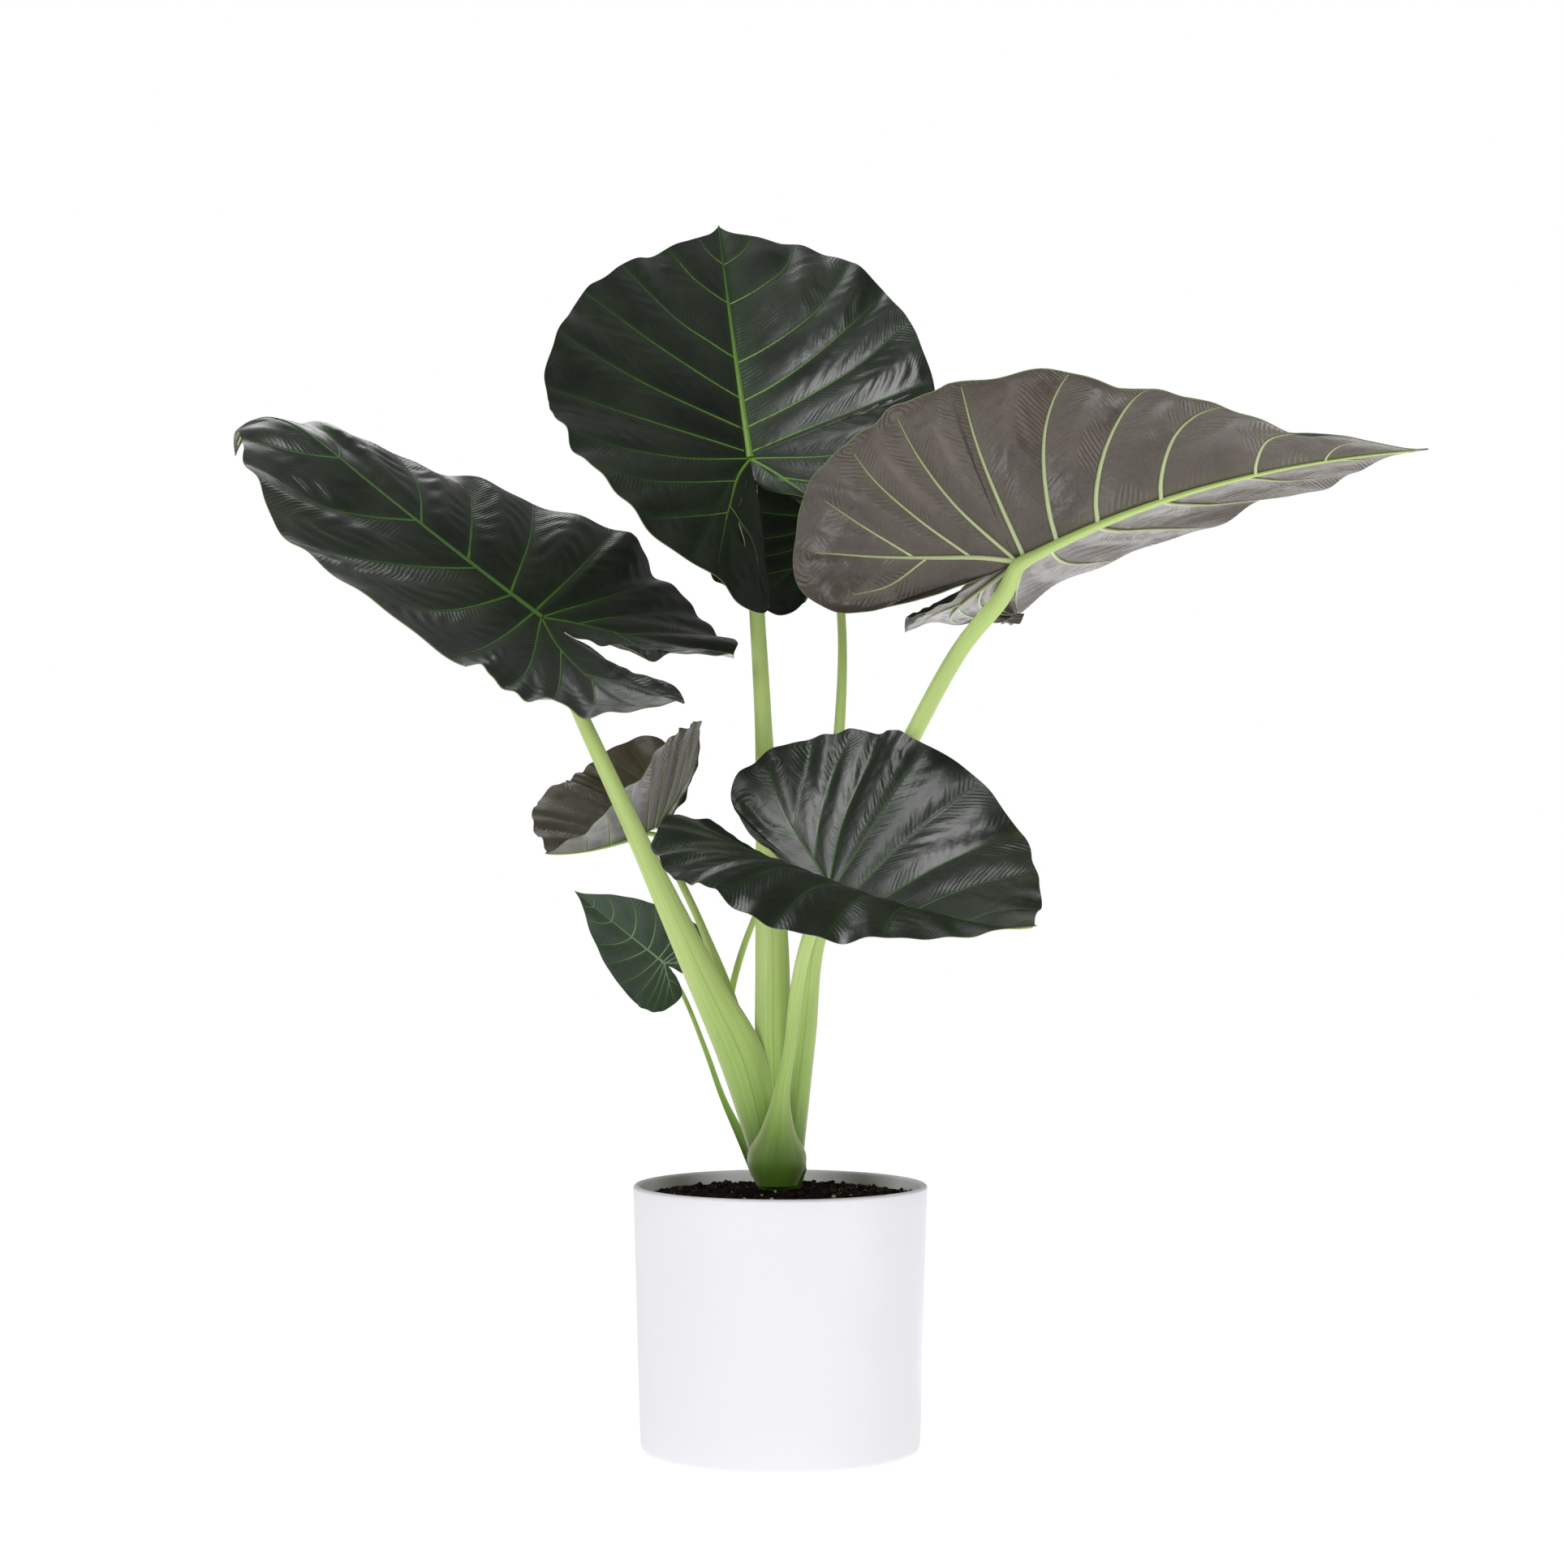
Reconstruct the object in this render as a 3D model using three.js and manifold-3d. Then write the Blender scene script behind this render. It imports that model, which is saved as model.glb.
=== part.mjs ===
// Potted alocasia: eight arrow-shaped leaves on long stalks, rooted in a plain round planter.
// Millimetres, +Z up, origin at the centre of the planter's underside, +Y towards the plant's back.
import * as THREE from 'three';
import { mergeVertices } from 'three/addons/utils/BufferGeometryUtils.js';
import Module from 'manifold-3d';

const wasm = await Module();
wasm.setup();

// Driving dimensions
const CLEARANCE = 0.3;
const POT_HEIGHT = 226;
const POT_RIM_RADIUS = 125;
const POT_FOOT_RADIUS = 118.5;
const POT_WALL = 6;
const POT_FLOOR = 8;
const POT_FOOT_ROUND = 9;
const SOIL_BELOW_RIM = 10;
const SOIL_DOME = 6;
// Points of the soil's domed top: share of its radius, and share of the dome's rise there.
const SOIL_PROFILE = [[1, 0], [0.66, 0.6], [0.3, 1], [0, 1]];
const STEM_PLACE = [-1, 12];
const STEM_WIDTH = 48;
const STEM_DEPTH = 44;
const STEM_HEIGHT = 34;
const STEM_BURIED = 26;
// Shares of the stem's depth in the soil, or of its height, with the share of its full girth there.
const BURIED_GIRTH = [[1, 0.5], [0.7, 0.68]];
const STEM_GIRTH = [[0, 0.76], [0.45, 1], [0.75, 0.95], [0.92, 0.8], [1, 0.5]];
const BLADE_THICKNESS = 1.6;
const COLLAR_LENGTH = 14;
// Shares of a stalk's end thickness: how far its middle lies under the joint, the knob there, and the
// midrib's ridge under the blade.
const JOINT_SINK = 0.45;
const KNOB_RADIUS = 0.53;
const RIDGE_DEPTH = 0.5;
const PLANT_GROWTH = 1;
const LOBE_DRAWN = [0.72, 0.96];
const NOTCH_OPENED = [0.12, 0.6];
const TIP_POINT = 6;
const DROOP_FROM = 0.6;
const DROOP_POWER = 2;
const FLAT_CURL = 1e-4;

// Mesh fineness
const POT_SEGMENTS = 44;
const ROUND_STEPS = 4;
const BLADE_RINGS = 4;
const STALK_SIDES = 8;
const STALK_STATIONS = 15;
const SPINE_STEPS = 24;

const SOIL_TOP = POT_HEIGHT - SOIL_BELOW_RIM + SOIL_DOME;
const FRONT = new THREE.Vector3(0, -1, 0);

// Half a leaf's outline from the tip, round the lobe, to the notch where the stalk joins.
// First value: along the leaf, 1 at the tip and -1 at the lobe's end. Second: share of the half width.
const HALF_OUTLINE = [
  [1, 0], [0.93, 0.05], [0.85, 0.15], [0.72, 0.34], [0.55, 0.58], [0.36, 0.79], [0.16, 0.94],
  [-0.08, 1], [-0.35, 0.985], [-0.6, 0.92], [-0.82, 0.78], [-0.96, 0.57], [-1, 0.38],
  [-0.93, 0.23], [-0.74, 0.13], [-0.45, 0.06], [-0.12, 0],
];

// Each leaf. Places are measured from the middle of the soil's surface, for a plant of growth 1.
// A stalk's points are [x, y, z, width, depth] up from the stem, and end is its thickness at the joint.
// Angles are degrees: heading turns from +X towards +Y, climb is above the horizon, roll lowers the right.
// Pairs are [left, right], seen from above with the tip ahead. fold lifts a half about the midrib,
// tipFold and lobeFold add to it towards the tip and the lobe, and curl rolls its outer edge up.
// fullness fills out the outline towards the tip. lobeClose draws a lobe's end in to the middle line, or
// opens the notch beside it where it is negative.
// bend and droop lift the midrib along its length and near its end, sweep turns it, twist rolls it.
const LEAVES = {
  crown: {
    stalk: [[-1, 12, 26, 26, 20], [-6, 18, 115, 31, 20], [-7, 26, 200, 29, 17], [-15, 72, 400, 15, 14],
      [-22, 108, 521, 13.5, 13]], end: 12.5,
    joint: [-27, 100, 637], heading: 102, climb: 56, roll: -1,
    length: 352, lobes: [180, 192], halfWidths: [204, 180], fullness: [0.15, 0.45], lobeClose: [0.3, -0.45],
    fold: [22, 36], tipFold: [0, -20], lobeFold: [24, 5], curl: [-4, -8],
    bend: -16, droop: 0, lobeBend: [-8, -8], sweep: -5, twist: -8,
  },
  back: {
    stalk: [[4, 14, 26, 18, 16], [18, 30, 113, 16, 14], [33, 62, 228, 12, 11], [52, 122, 385, 10, 9.5],
      [56, 184, 503, 8, 8]], end: 8,
    joint: [44, 205, 592], heading: 82, climb: 74, roll: 0,
    length: 215, lobes: [125, 125], halfWidths: [125, 125], fullness: [0, 0], lobeClose: [0, 0],
    fold: [16, 16], tipFold: [0, 0], lobeFold: [10, 10], curl: [0, 0],
    bend: -20, droop: -20, lobeBend: [32, 32], sweep: 0, twist: 0,
  },
  right: {
    stalk: [[7, 10, 18, 24, 20], [20, 4, 128, 21, 16], [32, 1, 218, 17, 15], [99, -12, 358, 15, 14.5],
      [153, -24, 458, 14.6, 14], [188, -36, 502, 15, 13]], end: 13,
    joint: [199, -40, 530], heading: 7, climb: 29, roll: -84,
    length: 357, lobes: [182, 176], halfWidths: [181, 181], fullness: [0.3, 0.3], lobeClose: [0, 0],
    fold: [71, -6], tipFold: [-12, -46], lobeFold: [-5, 7], curl: [0, -29],
    bend: -49, droop: 31, lobeBend: [80, 0], sweep: 25, twist: 17,
  },
  left: {
    stalk: [[-8, 10, 14, 26, 22], [-31, 8, 106, 40, 16], [-62, 8, 170, 30, 18], [-122, 3, 298, 17, 16],
      [-174, 3, 410, 12.5, 12]], end: 11.5,
    joint: [-206, 20, 488], heading: 179, climb: 37, roll: -40,
    length: 388, lobes: [177, 142], halfWidths: [209, 179], fullness: [0, 0], lobeClose: [0, 0],
    fold: [4, 3], tipFold: [-19, -28], lobeFold: [-2, -24], curl: [35, -9],
    bend: -11, droop: -107, lobeBend: [49, 49], sweep: -20, twist: 0,
  },
  front: {
    stalk: [[-3, -2, 3, 35, 26], [-3, -3, 24, 52, 32], [-2, -10, 48, 30, 20], [1, -16, 80, 14, 13],
      [8, -20, 120, 10.5, 10], [14, -28, 172, 11, 10], [24, -54, 216, 11, 10]],
    end: 9,
    joint: [40, -90, 257], heading: -36, climb: -13, roll: 23,
    length: 262, lobes: [148, 134], halfWidths: [156, 162], fullness: [0, 0], lobeClose: [0, 0],
    fold: [31, 49], tipFold: [-40, -40], lobeFold: [-10, -5], curl: [7, -54],
    bend: 22, droop: 8, lobeBend: [26, 26], sweep: -28, twist: 7,
  },
  young: {
    stalk: [[-8, 14, 22, 14, 13], [-20, 24, 78, 17, 14], [-46, 42, 163, 13, 11], [-68, 58, 220, 7, 7],
      [-90, 100, 264, 6.7, 6.7]], end: 6,
    joint: [-112, 150, 309], heading: 240, climb: -14, roll: 10,
    length: 225, lobes: [130, 130], halfWidths: [92, 106], fullness: [0, 0], lobeClose: [0, 0],
    fold: [62, 36], tipFold: [-42, 14], lobeFold: [-5, -5], curl: [-3, -3],
    bend: 12, droop: 0, lobeBend: [55, 78], sweep: 18, twist: 12,
  },
  low: {
    stalk: [[-18, 18, 11, 14, 12], [-33, 30, 40, 9, 8], [-49, 58, 70, 5.5, 5.5], [-67, 104, 113, 4.4, 4.4],
      [-87, 136, 158, 4, 4]], end: 4,
    joint: [-103, 110, 188], heading: 214, climb: 35, roll: -112,
    length: 109, lobes: [31, 31], halfWidths: [45, 48], fullness: [0.2, 0.3], lobeClose: [0, 0],
    fold: [16, 16], tipFold: [0, 0], lobeFold: [13, 15], curl: [-4, -4],
    bend: -9, droop: -9, lobeBend: [14, 14], sweep: 1, twist: 3,
  },
  hidden: {
    stalk: [[-3, 26, 28, 12, 11], [-26, 48, 90, 8, 8], [-44, 62, 148, 6.5, 6.5], [-37, 72, 188, 6, 6],
      [-22, 88, 230, 5.5, 5.5]], end: 5,
    joint: [-8, 104, 262], heading: 95, climb: 30, roll: 0,
    length: 88, lobes: [34, 34], halfWidths: [39, 39], fullness: [0, 0], lobeClose: [0, 0],
    fold: [20, 20], tipFold: [0, 0], lobeFold: [10, 10], curl: [0, 0],
    bend: -25, droop: -20, lobeBend: [10, 10], sweep: 0, twist: 0,
  },
};

const vector = (x, y, z) => new THREE.Vector3(x, y, z);
const radians = THREE.MathUtils.degToRad;
const mix = THREE.MathUtils.lerp;

/** A closed mesh as a solid. Its vertices are vectors, its triangles index triples. */
function solid(vertices, triangles) {
  return new wasm.Manifold(new wasm.Mesh({
    numProp: 3,
    vertProperties: new Float32Array(vertices.flatMap((v) => [v.x, v.y, v.z])),
    triVerts: new Uint32Array(triangles.flat()),
  }));
}

/** A closed three.js geometry as a solid. */
function geometrySolid(geometry) {
  const bare = geometry.clone();
  bare.deleteAttribute('normal');
  bare.deleteAttribute('uv');
  const merged = mergeVertices(bare);
  return new wasm.Manifold(new wasm.Mesh({
    numProp: 3,
    vertProperties: new Float32Array(merged.attributes.position.array),
    triVerts: new Uint32Array(merged.index.array),
  }));
}

/** A solid as the geometry of a named mesh. */
function meshOf(name, made, material) {
  const { vertProperties, triVerts } = made.getMesh();
  const geometry = new THREE.BufferGeometry();
  geometry.setAttribute('position', new THREE.BufferAttribute(vertProperties, 3));
  geometry.setIndex(new THREE.BufferAttribute(triVerts, 1));
  geometry.computeVertexNormals();
  const mesh = new THREE.Mesh(geometry, material);
  mesh.name = name;
  return mesh;
}

/** The largest single body of a solid. */
const largestBody = (made) => made.decompose().reduce((a, b) => (b.volume() > a.volume() ? b : a));

/** A quarter circle of profile points about a centre, from one angle to another in degrees. */
function arc(centreX, centreY, radius, from, to) {
  return Array.from({ length: ROUND_STEPS + 1 }, (_, i) => {
    const angle = radians(mix(from, to, i / ROUND_STEPS));
    return new THREE.Vector2(centreX + radius * Math.cos(angle), centreY + radius * Math.sin(angle));
  });
}

/** A profile of radius and height turned about the vertical axis. */
const turned = (profile) => new THREE.LatheGeometry(profile, POT_SEGMENTS).rotateX(Math.PI / 2);

/** The planter's outer radius at a height above its underside. */
const potRadius = (z) => mix(POT_FOOT_RADIUS, POT_RIM_RADIUS, z / POT_HEIGHT);

/** The planter: a slightly tapered cup with a rounded foot and lip. */
function planter() {
  const lip = POT_WALL / 2;
  const profile = [
    new THREE.Vector2(0, 0),
    ...arc(potRadius(0) - POT_FOOT_ROUND, POT_FOOT_ROUND, POT_FOOT_ROUND, -90, 0),
    ...arc(POT_RIM_RADIUS - lip, POT_HEIGHT - lip, lip, 0, 180),
    new THREE.Vector2(potRadius(POT_FLOOR) - POT_WALL, POT_FLOOR),
    new THREE.Vector2(0, POT_FLOOR),
  ];
  return geometrySolid(turned(profile));
}

/** The soil fills the planter to a low dome round the stem, which stands in a close hole. */
function pottingSoil() {
  const bottom = POT_FLOOR + CLEARANCE;
  const edge = POT_HEIGHT - SOIL_BELOW_RIM;
  const radiusAt = (z) => potRadius(z) - POT_WALL - CLEARANCE;
  const profile = [
    new THREE.Vector2(0, bottom),
    new THREE.Vector2(radiusAt(bottom) - CLEARANCE, bottom),
    ...SOIL_PROFILE.map(([out, rise]) => new THREE.Vector2(radiusAt(edge) * out, edge + SOIL_DOME * rise)),
  ];
  const filling = geometrySolid(turned(profile));
  return filling.subtract(tube(stemStations(CLEARANCE, SOIL_TOP), STALK_SIDES * 2));
}

/** A closed tube through stations of { at, side, front, width, depth }, with elliptic sections. */
function tube(stations, sides) {
  const vertices = [];
  const triangles = [];
  for (const { at, side, front, width, depth } of stations) {
    for (let i = 0; i < sides; i += 1) {
      const angle = (2 * Math.PI * i) / sides;
      vertices.push(at.clone()
        .addScaledVector(side, Math.cos(angle) * width / 2)
        .addScaledVector(front, Math.sin(angle) * depth / 2));
    }
  }
  for (let ring = 0; ring < stations.length - 1; ring += 1) {
    for (let i = 0; i < sides; i += 1) {
      const a = ring * sides + i;
      const b = ring * sides + (i + 1) % sides;
      triangles.push([a, b, b + sides], [a, b + sides, a + sides]);
    }
  }
  const first = vertices.push(stations[0].at.clone()) - 1;
  const last = vertices.push(stations.at(-1).at.clone()) - 1;
  const top = (stations.length - 1) * sides;
  for (let i = 0; i < sides; i += 1) {
    const next = (i + 1) % sides;
    triangles.push([first, next, i], [last, top + i, top + next]);
  }
  const made = solid(vertices, triangles);
  return made.volume() < 0 ? solid(vertices, triangles.map(([a, b, c]) => [a, c, b])) : made;
}

/** The short upright stem that the stalks leave, as stations grown by a gap and lifted. */
function stemStations(grow, lift) {
  const shape = [...BURIED_GIRTH.map(([z, share]) => [-STEM_BURIED * z, share]),
    ...STEM_GIRTH.map(([z, share]) => [STEM_HEIGHT * z, share])];
  return shape.map(([z, share]) => ({
    at: vector(...STEM_PLACE, z + lift + Math.sign(z) * grow),
    side: vector(1, 0, 0),
    front: FRONT,
    width: STEM_WIDTH * share + 2 * grow,
    depth: STEM_DEPTH * share + 2 * grow,
  }));
}

/** The stalk's middle line and its girth as curves, from the stem to just under the blade's joint. */
function stalkCurves(leaf) {
  const sink = JOINT_SINK * PLANT_GROWTH * leaf.end;
  const under = grown(...leaf.joint).addScaledVector(bladeFrame(leaf).up, -sink);
  const course = [...leaf.stalk.map(([x, y, z]) => grown(x, y, z)), under];
  const girth = leaf.stalk.map(([, , , width, depth]) => grown(width, depth, 0));
  girth.push(grown(leaf.end, leaf.end, 0));
  return { course: new THREE.CatmullRomCurve3(course), girth: new THREE.CatmullRomCurve3(girth) };
}

/** Stations along part of a leaf's stalk, between two curve parameters, grown by a gap. */
function stalkStations(leaf, from, to, grow) {
  const { course, girth } = stalkCurves(leaf);
  const count = Math.max(2, Math.round(STALK_STATIONS * (to - from)));
  return Array.from({ length: count }, (_, i) => {
    const t = mix(from, to, i / (count - 1));
    const along = course.getTangent(t);
    const side = along.clone().cross(FRONT).normalize();
    const size = girth.getPoint(t);
    return {
      at: course.getPoint(t),
      side,
      front: side.clone().cross(along).normalize(),
      width: size.x + 2 * grow,
      depth: size.y + 2 * grow,
    };
  });
}

/** A point or size of the plant's layout at its present growth. */
const grown = (x, y, z) => vector(x, y, z).multiplyScalar(PLANT_GROWTH);

/** The curve parameters on both sides of the gap between the stalk and the blade's own collar. */
function collarGap(leaf) {
  const { course } = stalkCurves(leaf);
  const length = course.getLength();
  const share = 1 - COLLAR_LENGTH * PLANT_GROWTH / length;
  const gap = CLEARANCE / length;
  return [course.getUtoTmapping(share - gap / 2), course.getUtoTmapping(share + gap / 2)];
}

/** The blade's directions at its joint: along the midrib, to its left, and out of its upper side. */
function bladeFrame({ heading, climb, roll }) {
  const [h, c, r] = [heading, climb, roll].map(radians);
  const along = vector(Math.cos(c) * Math.cos(h), Math.cos(c) * Math.sin(h), Math.sin(c));
  const level = vector(-Math.sin(c) * Math.cos(h), -Math.sin(c) * Math.sin(h), Math.cos(c));
  const flank = level.clone().cross(along);
  return {
    along,
    left: flank.clone().multiplyScalar(Math.cos(r)).addScaledVector(level, Math.sin(r)),
    up: level.clone().multiplyScalar(Math.cos(r)).addScaledVector(flank, -Math.sin(r)),
  };
}

/** Stations of the midrib's line towards the tip, or back into the lobe of one side. */
function spine(leaf, side, towardsTip) {
  const base = bladeFrame(leaf);
  const half = side > 0 ? 0 : 1;
  const length = PLANT_GROWTH * (towardsTip ? leaf.length : leaf.lobes[half]);
  const stations = [];
  const at = grown(...leaf.joint);
  let before = null;
  for (let i = 0; i <= SPINE_STEPS; i += 1) {
    const u = i / SPINE_STEPS;
    const nearEnd = Math.max(0, (u - DROOP_FROM) / (1 - DROOP_FROM)) ** DROOP_POWER;
    const pitch = radians(towardsTip ? leaf.bend * u + leaf.droop * nearEnd : -leaf.lobeBend[half] * u);
    const yaw = towardsTip ? radians(leaf.sweep * u) : 0;
    const twist = towardsTip ? radians(leaf.twist * u) : 0;
    const level = base.along.clone().multiplyScalar(Math.cos(yaw))
      .addScaledVector(base.left, Math.sin(yaw));
    const flank = base.left.clone().multiplyScalar(Math.cos(yaw))
      .addScaledVector(base.along, -Math.sin(yaw));
    const along = level.clone().multiplyScalar(Math.cos(pitch)).addScaledVector(base.up, Math.sin(pitch));
    const rise = base.up.clone().multiplyScalar(Math.cos(pitch)).addScaledVector(level, -Math.sin(pitch));
    const left = flank.clone().multiplyScalar(Math.cos(twist)).addScaledVector(rise, Math.sin(twist));
    const up = rise.clone().multiplyScalar(Math.cos(twist)).addScaledVector(flank, -Math.sin(twist));
    if (before) {
      const step = before.clone().add(along).multiplyScalar(0.5 * length / SPINE_STEPS);
      at.addScaledVector(step, towardsTip ? 1 : -1);
    }
    before = along;
    stations.push({ at: at.clone(), along, left, up });
  }
  return stations;
}

/** The blade's middle surface as a function of side, place along (tip 1, lobe -1) and across (edge 1). */
function bladeSurface(leaf) {
  const spines = { 1: [spine(leaf, 1, true), spine(leaf, 1, false)],
    '-1': [spine(leaf, -1, true), spine(leaf, -1, false)] };
  return (side, along, across) => {
    const half = side > 0 ? 0 : 1;
    const stations = spines[side][along >= 0 ? 0 : 1];
    const u = Math.min(Math.abs(along), 1);
    const k = Math.min(Math.floor(u * SPINE_STEPS), SPINE_STEPS - 1);
    const f = u * SPINE_STEPS - k;
    const [a, b] = [stations[k], stations[k + 1]];
    const extra = along >= 0 ? leaf.tipFold[half] : leaf.lobeFold[half];
    const fold = radians(leaf.fold[half] + extra * u);
    const curl = radians(leaf.curl[half]) || FLAT_CURL;
    const share = along > 0 ? across ** (1 - leaf.fullness[half] * (1 - u ** TIP_POINT)) : across;
    const radius = PLANT_GROWTH * leaf.halfWidths[half] / curl;
    const out = radius * (Math.sin(fold + curl * share) - Math.sin(fold));
    const rise = radius * (Math.cos(fold) - Math.cos(fold + curl * share));
    return a.at.clone().lerp(b.at, f)
      .addScaledVector(a.left.clone().lerp(b.left, f), side * out)
      .addScaledVector(a.up.clone().lerp(b.up, f), rise);
  };
}

/** One half's outline, its lobe's end drawn in to the leaf's middle line, or the whole notch opened. */
function halfOutline(close) {
  const [from, to] = close > 0 ? LOBE_DRAWN : NOTCH_OPENED;
  return HALF_OUTLINE.map(([along, across]) => {
    const drawn = close * THREE.MathUtils.smoothstep(-along, from, to);
    return [along, Math.max(0, across - drawn * (1 - across))];
  });
}

/** The blade as a thin closed shell on rings about the joint. */
function bladeShell(leaf) {
  const surface = bladeSurface(leaf);
  const [leftOutline, rightOutline] = leaf.lobeClose.map(halfOutline);
  const left = leftOutline.map(([along, across]) => [1, along, across]);
  const right = rightOutline.slice(1, -1).reverse().map(([along, across]) => [-1, along, across]);
  const columns = [...left, ...right];
  const count = columns.length;
  const middle = [surface(1, 0, 0)];
  for (let ring = 1; ring <= BLADE_RINGS; ring += 1) {
    for (const [side, along, across] of columns) {
      middle.push(surface(side, along * ring / BLADE_RINGS, across * ring / BLADE_RINGS));
    }
  }
  const faces = [];
  for (let i = 0; i < count; i += 1) {
    const next = (i + 1) % count;
    faces.push([0, 1 + i, 1 + next]);
    for (let ring = 0; ring < BLADE_RINGS - 1; ring += 1) {
      const a = 1 + ring * count + i;
      const b = 1 + ring * count + next;
      faces.push([a, a + count, b + count], [a, b + count, b]);
    }
  }
  const sheet = new THREE.BufferGeometry().setFromPoints(middle);
  sheet.setIndex(faces.flat());
  sheet.computeVertexNormals();
  const normal = middle.map((_, i) => new THREE.Vector3().fromBufferAttribute(sheet.attributes.normal, i));
  const half = BLADE_THICKNESS / 2;
  const ridge = PLANT_GROWTH * leaf.end * RIDGE_DEPTH;
  const upper = middle.map((point, i) => point.clone().addScaledVector(normal[i], half));
  const midrib = (i) => (i > 0 && (i - 1) % count === 0 ? mix(ridge, 0, (i - 1) / count / BLADE_RINGS) : 0);
  const lower = middle.map((point, i) => point.clone().addScaledVector(normal[i], -half - midrib(i)));
  const size = middle.length;
  const triangles = [...faces, ...faces.map(([a, b, c]) => [a + size, c + size, b + size])];
  const rim = 1 + (BLADE_RINGS - 1) * count;
  for (let i = 0; i < count; i += 1) {
    const a = rim + i;
    const b = rim + (i + 1) % count;
    triangles.push([a, a + size, b + size], [a, b + size, b]);
  }
  return solid([...upper, ...lower], triangles);
}

/** A leaf's blade with the collar under its joint that meets the stalk. */
function blade(leaf) {
  const radius = PLANT_GROWTH * leaf.end * KNOB_RADIUS;
  const end = stalkCurves(leaf).course.getPoint(1);
  const knob = new THREE.SphereGeometry(radius, STALK_SIDES, 6).translate(...end.toArray());
  const collar = tube(stalkStations(leaf, collarGap(leaf)[1], 1, 0), STALK_SIDES);
  return largestBody(bladeShell(leaf).add(collar).add(geometrySolid(knob)));
}

const material = (color, roughness) => new THREE.MeshStandardMaterial({ color, roughness, metalness: 0 });
const leafGreen = material(0x2b3a2a, 0.35);
const stalkGreen = material(0xa3c468, 0.5);
const stemGreen = material(0x5f8a2b, 0.5);
const soilBrown = material(0x1d1712, 1);
const potWhite = material(0xf3f4f6, 0.45);

const group = new THREE.Group();
group.add(meshOf('planter', planter(), potWhite));
group.add(meshOf('potting_soil', pottingSoil(), soilBrown));

const plant = new THREE.Group();
plant.position.z = SOIL_TOP;
group.add(plant);
plant.add(meshOf('stem_base', tube(stemStations(0, 0), STALK_SIDES * 2), stemGreen));

// Stalks from the front and outside inwards. Each one gives way to the stem and to those before it.
let taken = tube(stemStations(CLEARANCE, 0), STALK_SIDES * 2);
for (const name of ['front', 'left', 'right', 'crown', 'young', 'low', 'back', 'hidden']) {
  const leaf = LEAVES[name];
  const [stalkEnd] = collarGap(leaf);
  const stalk = tube(stalkStations(leaf, 0, stalkEnd, 0), STALK_SIDES);
  plant.add(meshOf(`petiole_${name}`, largestBody(stalk.subtract(taken)), stalkGreen));
  taken = taken.add(tube(stalkStations(leaf, 0, stalkEnd, CLEARANCE), STALK_SIDES));
  plant.add(meshOf(`blade_${name}`, blade(leaf), leafGreen));
}

export default group;
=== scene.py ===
"""A potted alocasia: eight arrow-shaped leaves on long fleshy stalks, in a plain white planter.

Lengths in the layout are millimetres and angles are degrees. +Y points to the plant's back.
"""
import math

import bpy
import numpy as np
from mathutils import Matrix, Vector


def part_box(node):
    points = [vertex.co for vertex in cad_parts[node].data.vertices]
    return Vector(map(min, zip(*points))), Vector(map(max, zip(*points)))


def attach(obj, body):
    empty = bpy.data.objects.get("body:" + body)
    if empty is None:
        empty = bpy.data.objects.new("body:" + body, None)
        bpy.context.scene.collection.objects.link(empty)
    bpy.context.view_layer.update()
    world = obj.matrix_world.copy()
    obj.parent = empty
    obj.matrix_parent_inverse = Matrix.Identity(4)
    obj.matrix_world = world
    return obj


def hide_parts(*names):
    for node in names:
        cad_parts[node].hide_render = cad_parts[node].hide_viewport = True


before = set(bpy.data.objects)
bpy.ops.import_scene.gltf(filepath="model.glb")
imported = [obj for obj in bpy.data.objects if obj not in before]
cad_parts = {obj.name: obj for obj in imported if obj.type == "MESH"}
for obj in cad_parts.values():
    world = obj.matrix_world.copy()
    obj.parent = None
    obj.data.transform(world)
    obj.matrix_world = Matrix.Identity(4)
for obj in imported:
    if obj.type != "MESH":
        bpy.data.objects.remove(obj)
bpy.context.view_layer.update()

MM = 0.001
SOIL_LOW, SOIL_HIGH = (np.array(corner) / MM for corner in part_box("potting_soil"))
POT_HIGH = np.array(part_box("planter")[1]) / MM
GROUND = np.array([0.0, 0.0, SOIL_HIGH[2]])

# Half a leaf's outline from the tip, round the lobe, to the notch where the stalk joins.
# First value: along the leaf, 1 at the tip and -1 at the lobe's end. Second: share of the half width.
HALF_OUTLINE = [
    [1, 0], [0.93, 0.05], [0.85, 0.15], [0.72, 0.34], [0.55, 0.58], [0.36, 0.79], [0.16, 0.94],
    [-0.08, 1], [-0.35, 0.985], [-0.6, 0.92], [-0.82, 0.78], [-0.96, 0.57], [-1, 0.38],
    [-0.93, 0.23], [-0.74, 0.13], [-0.45, 0.06], [-0.12, 0],
]

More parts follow.
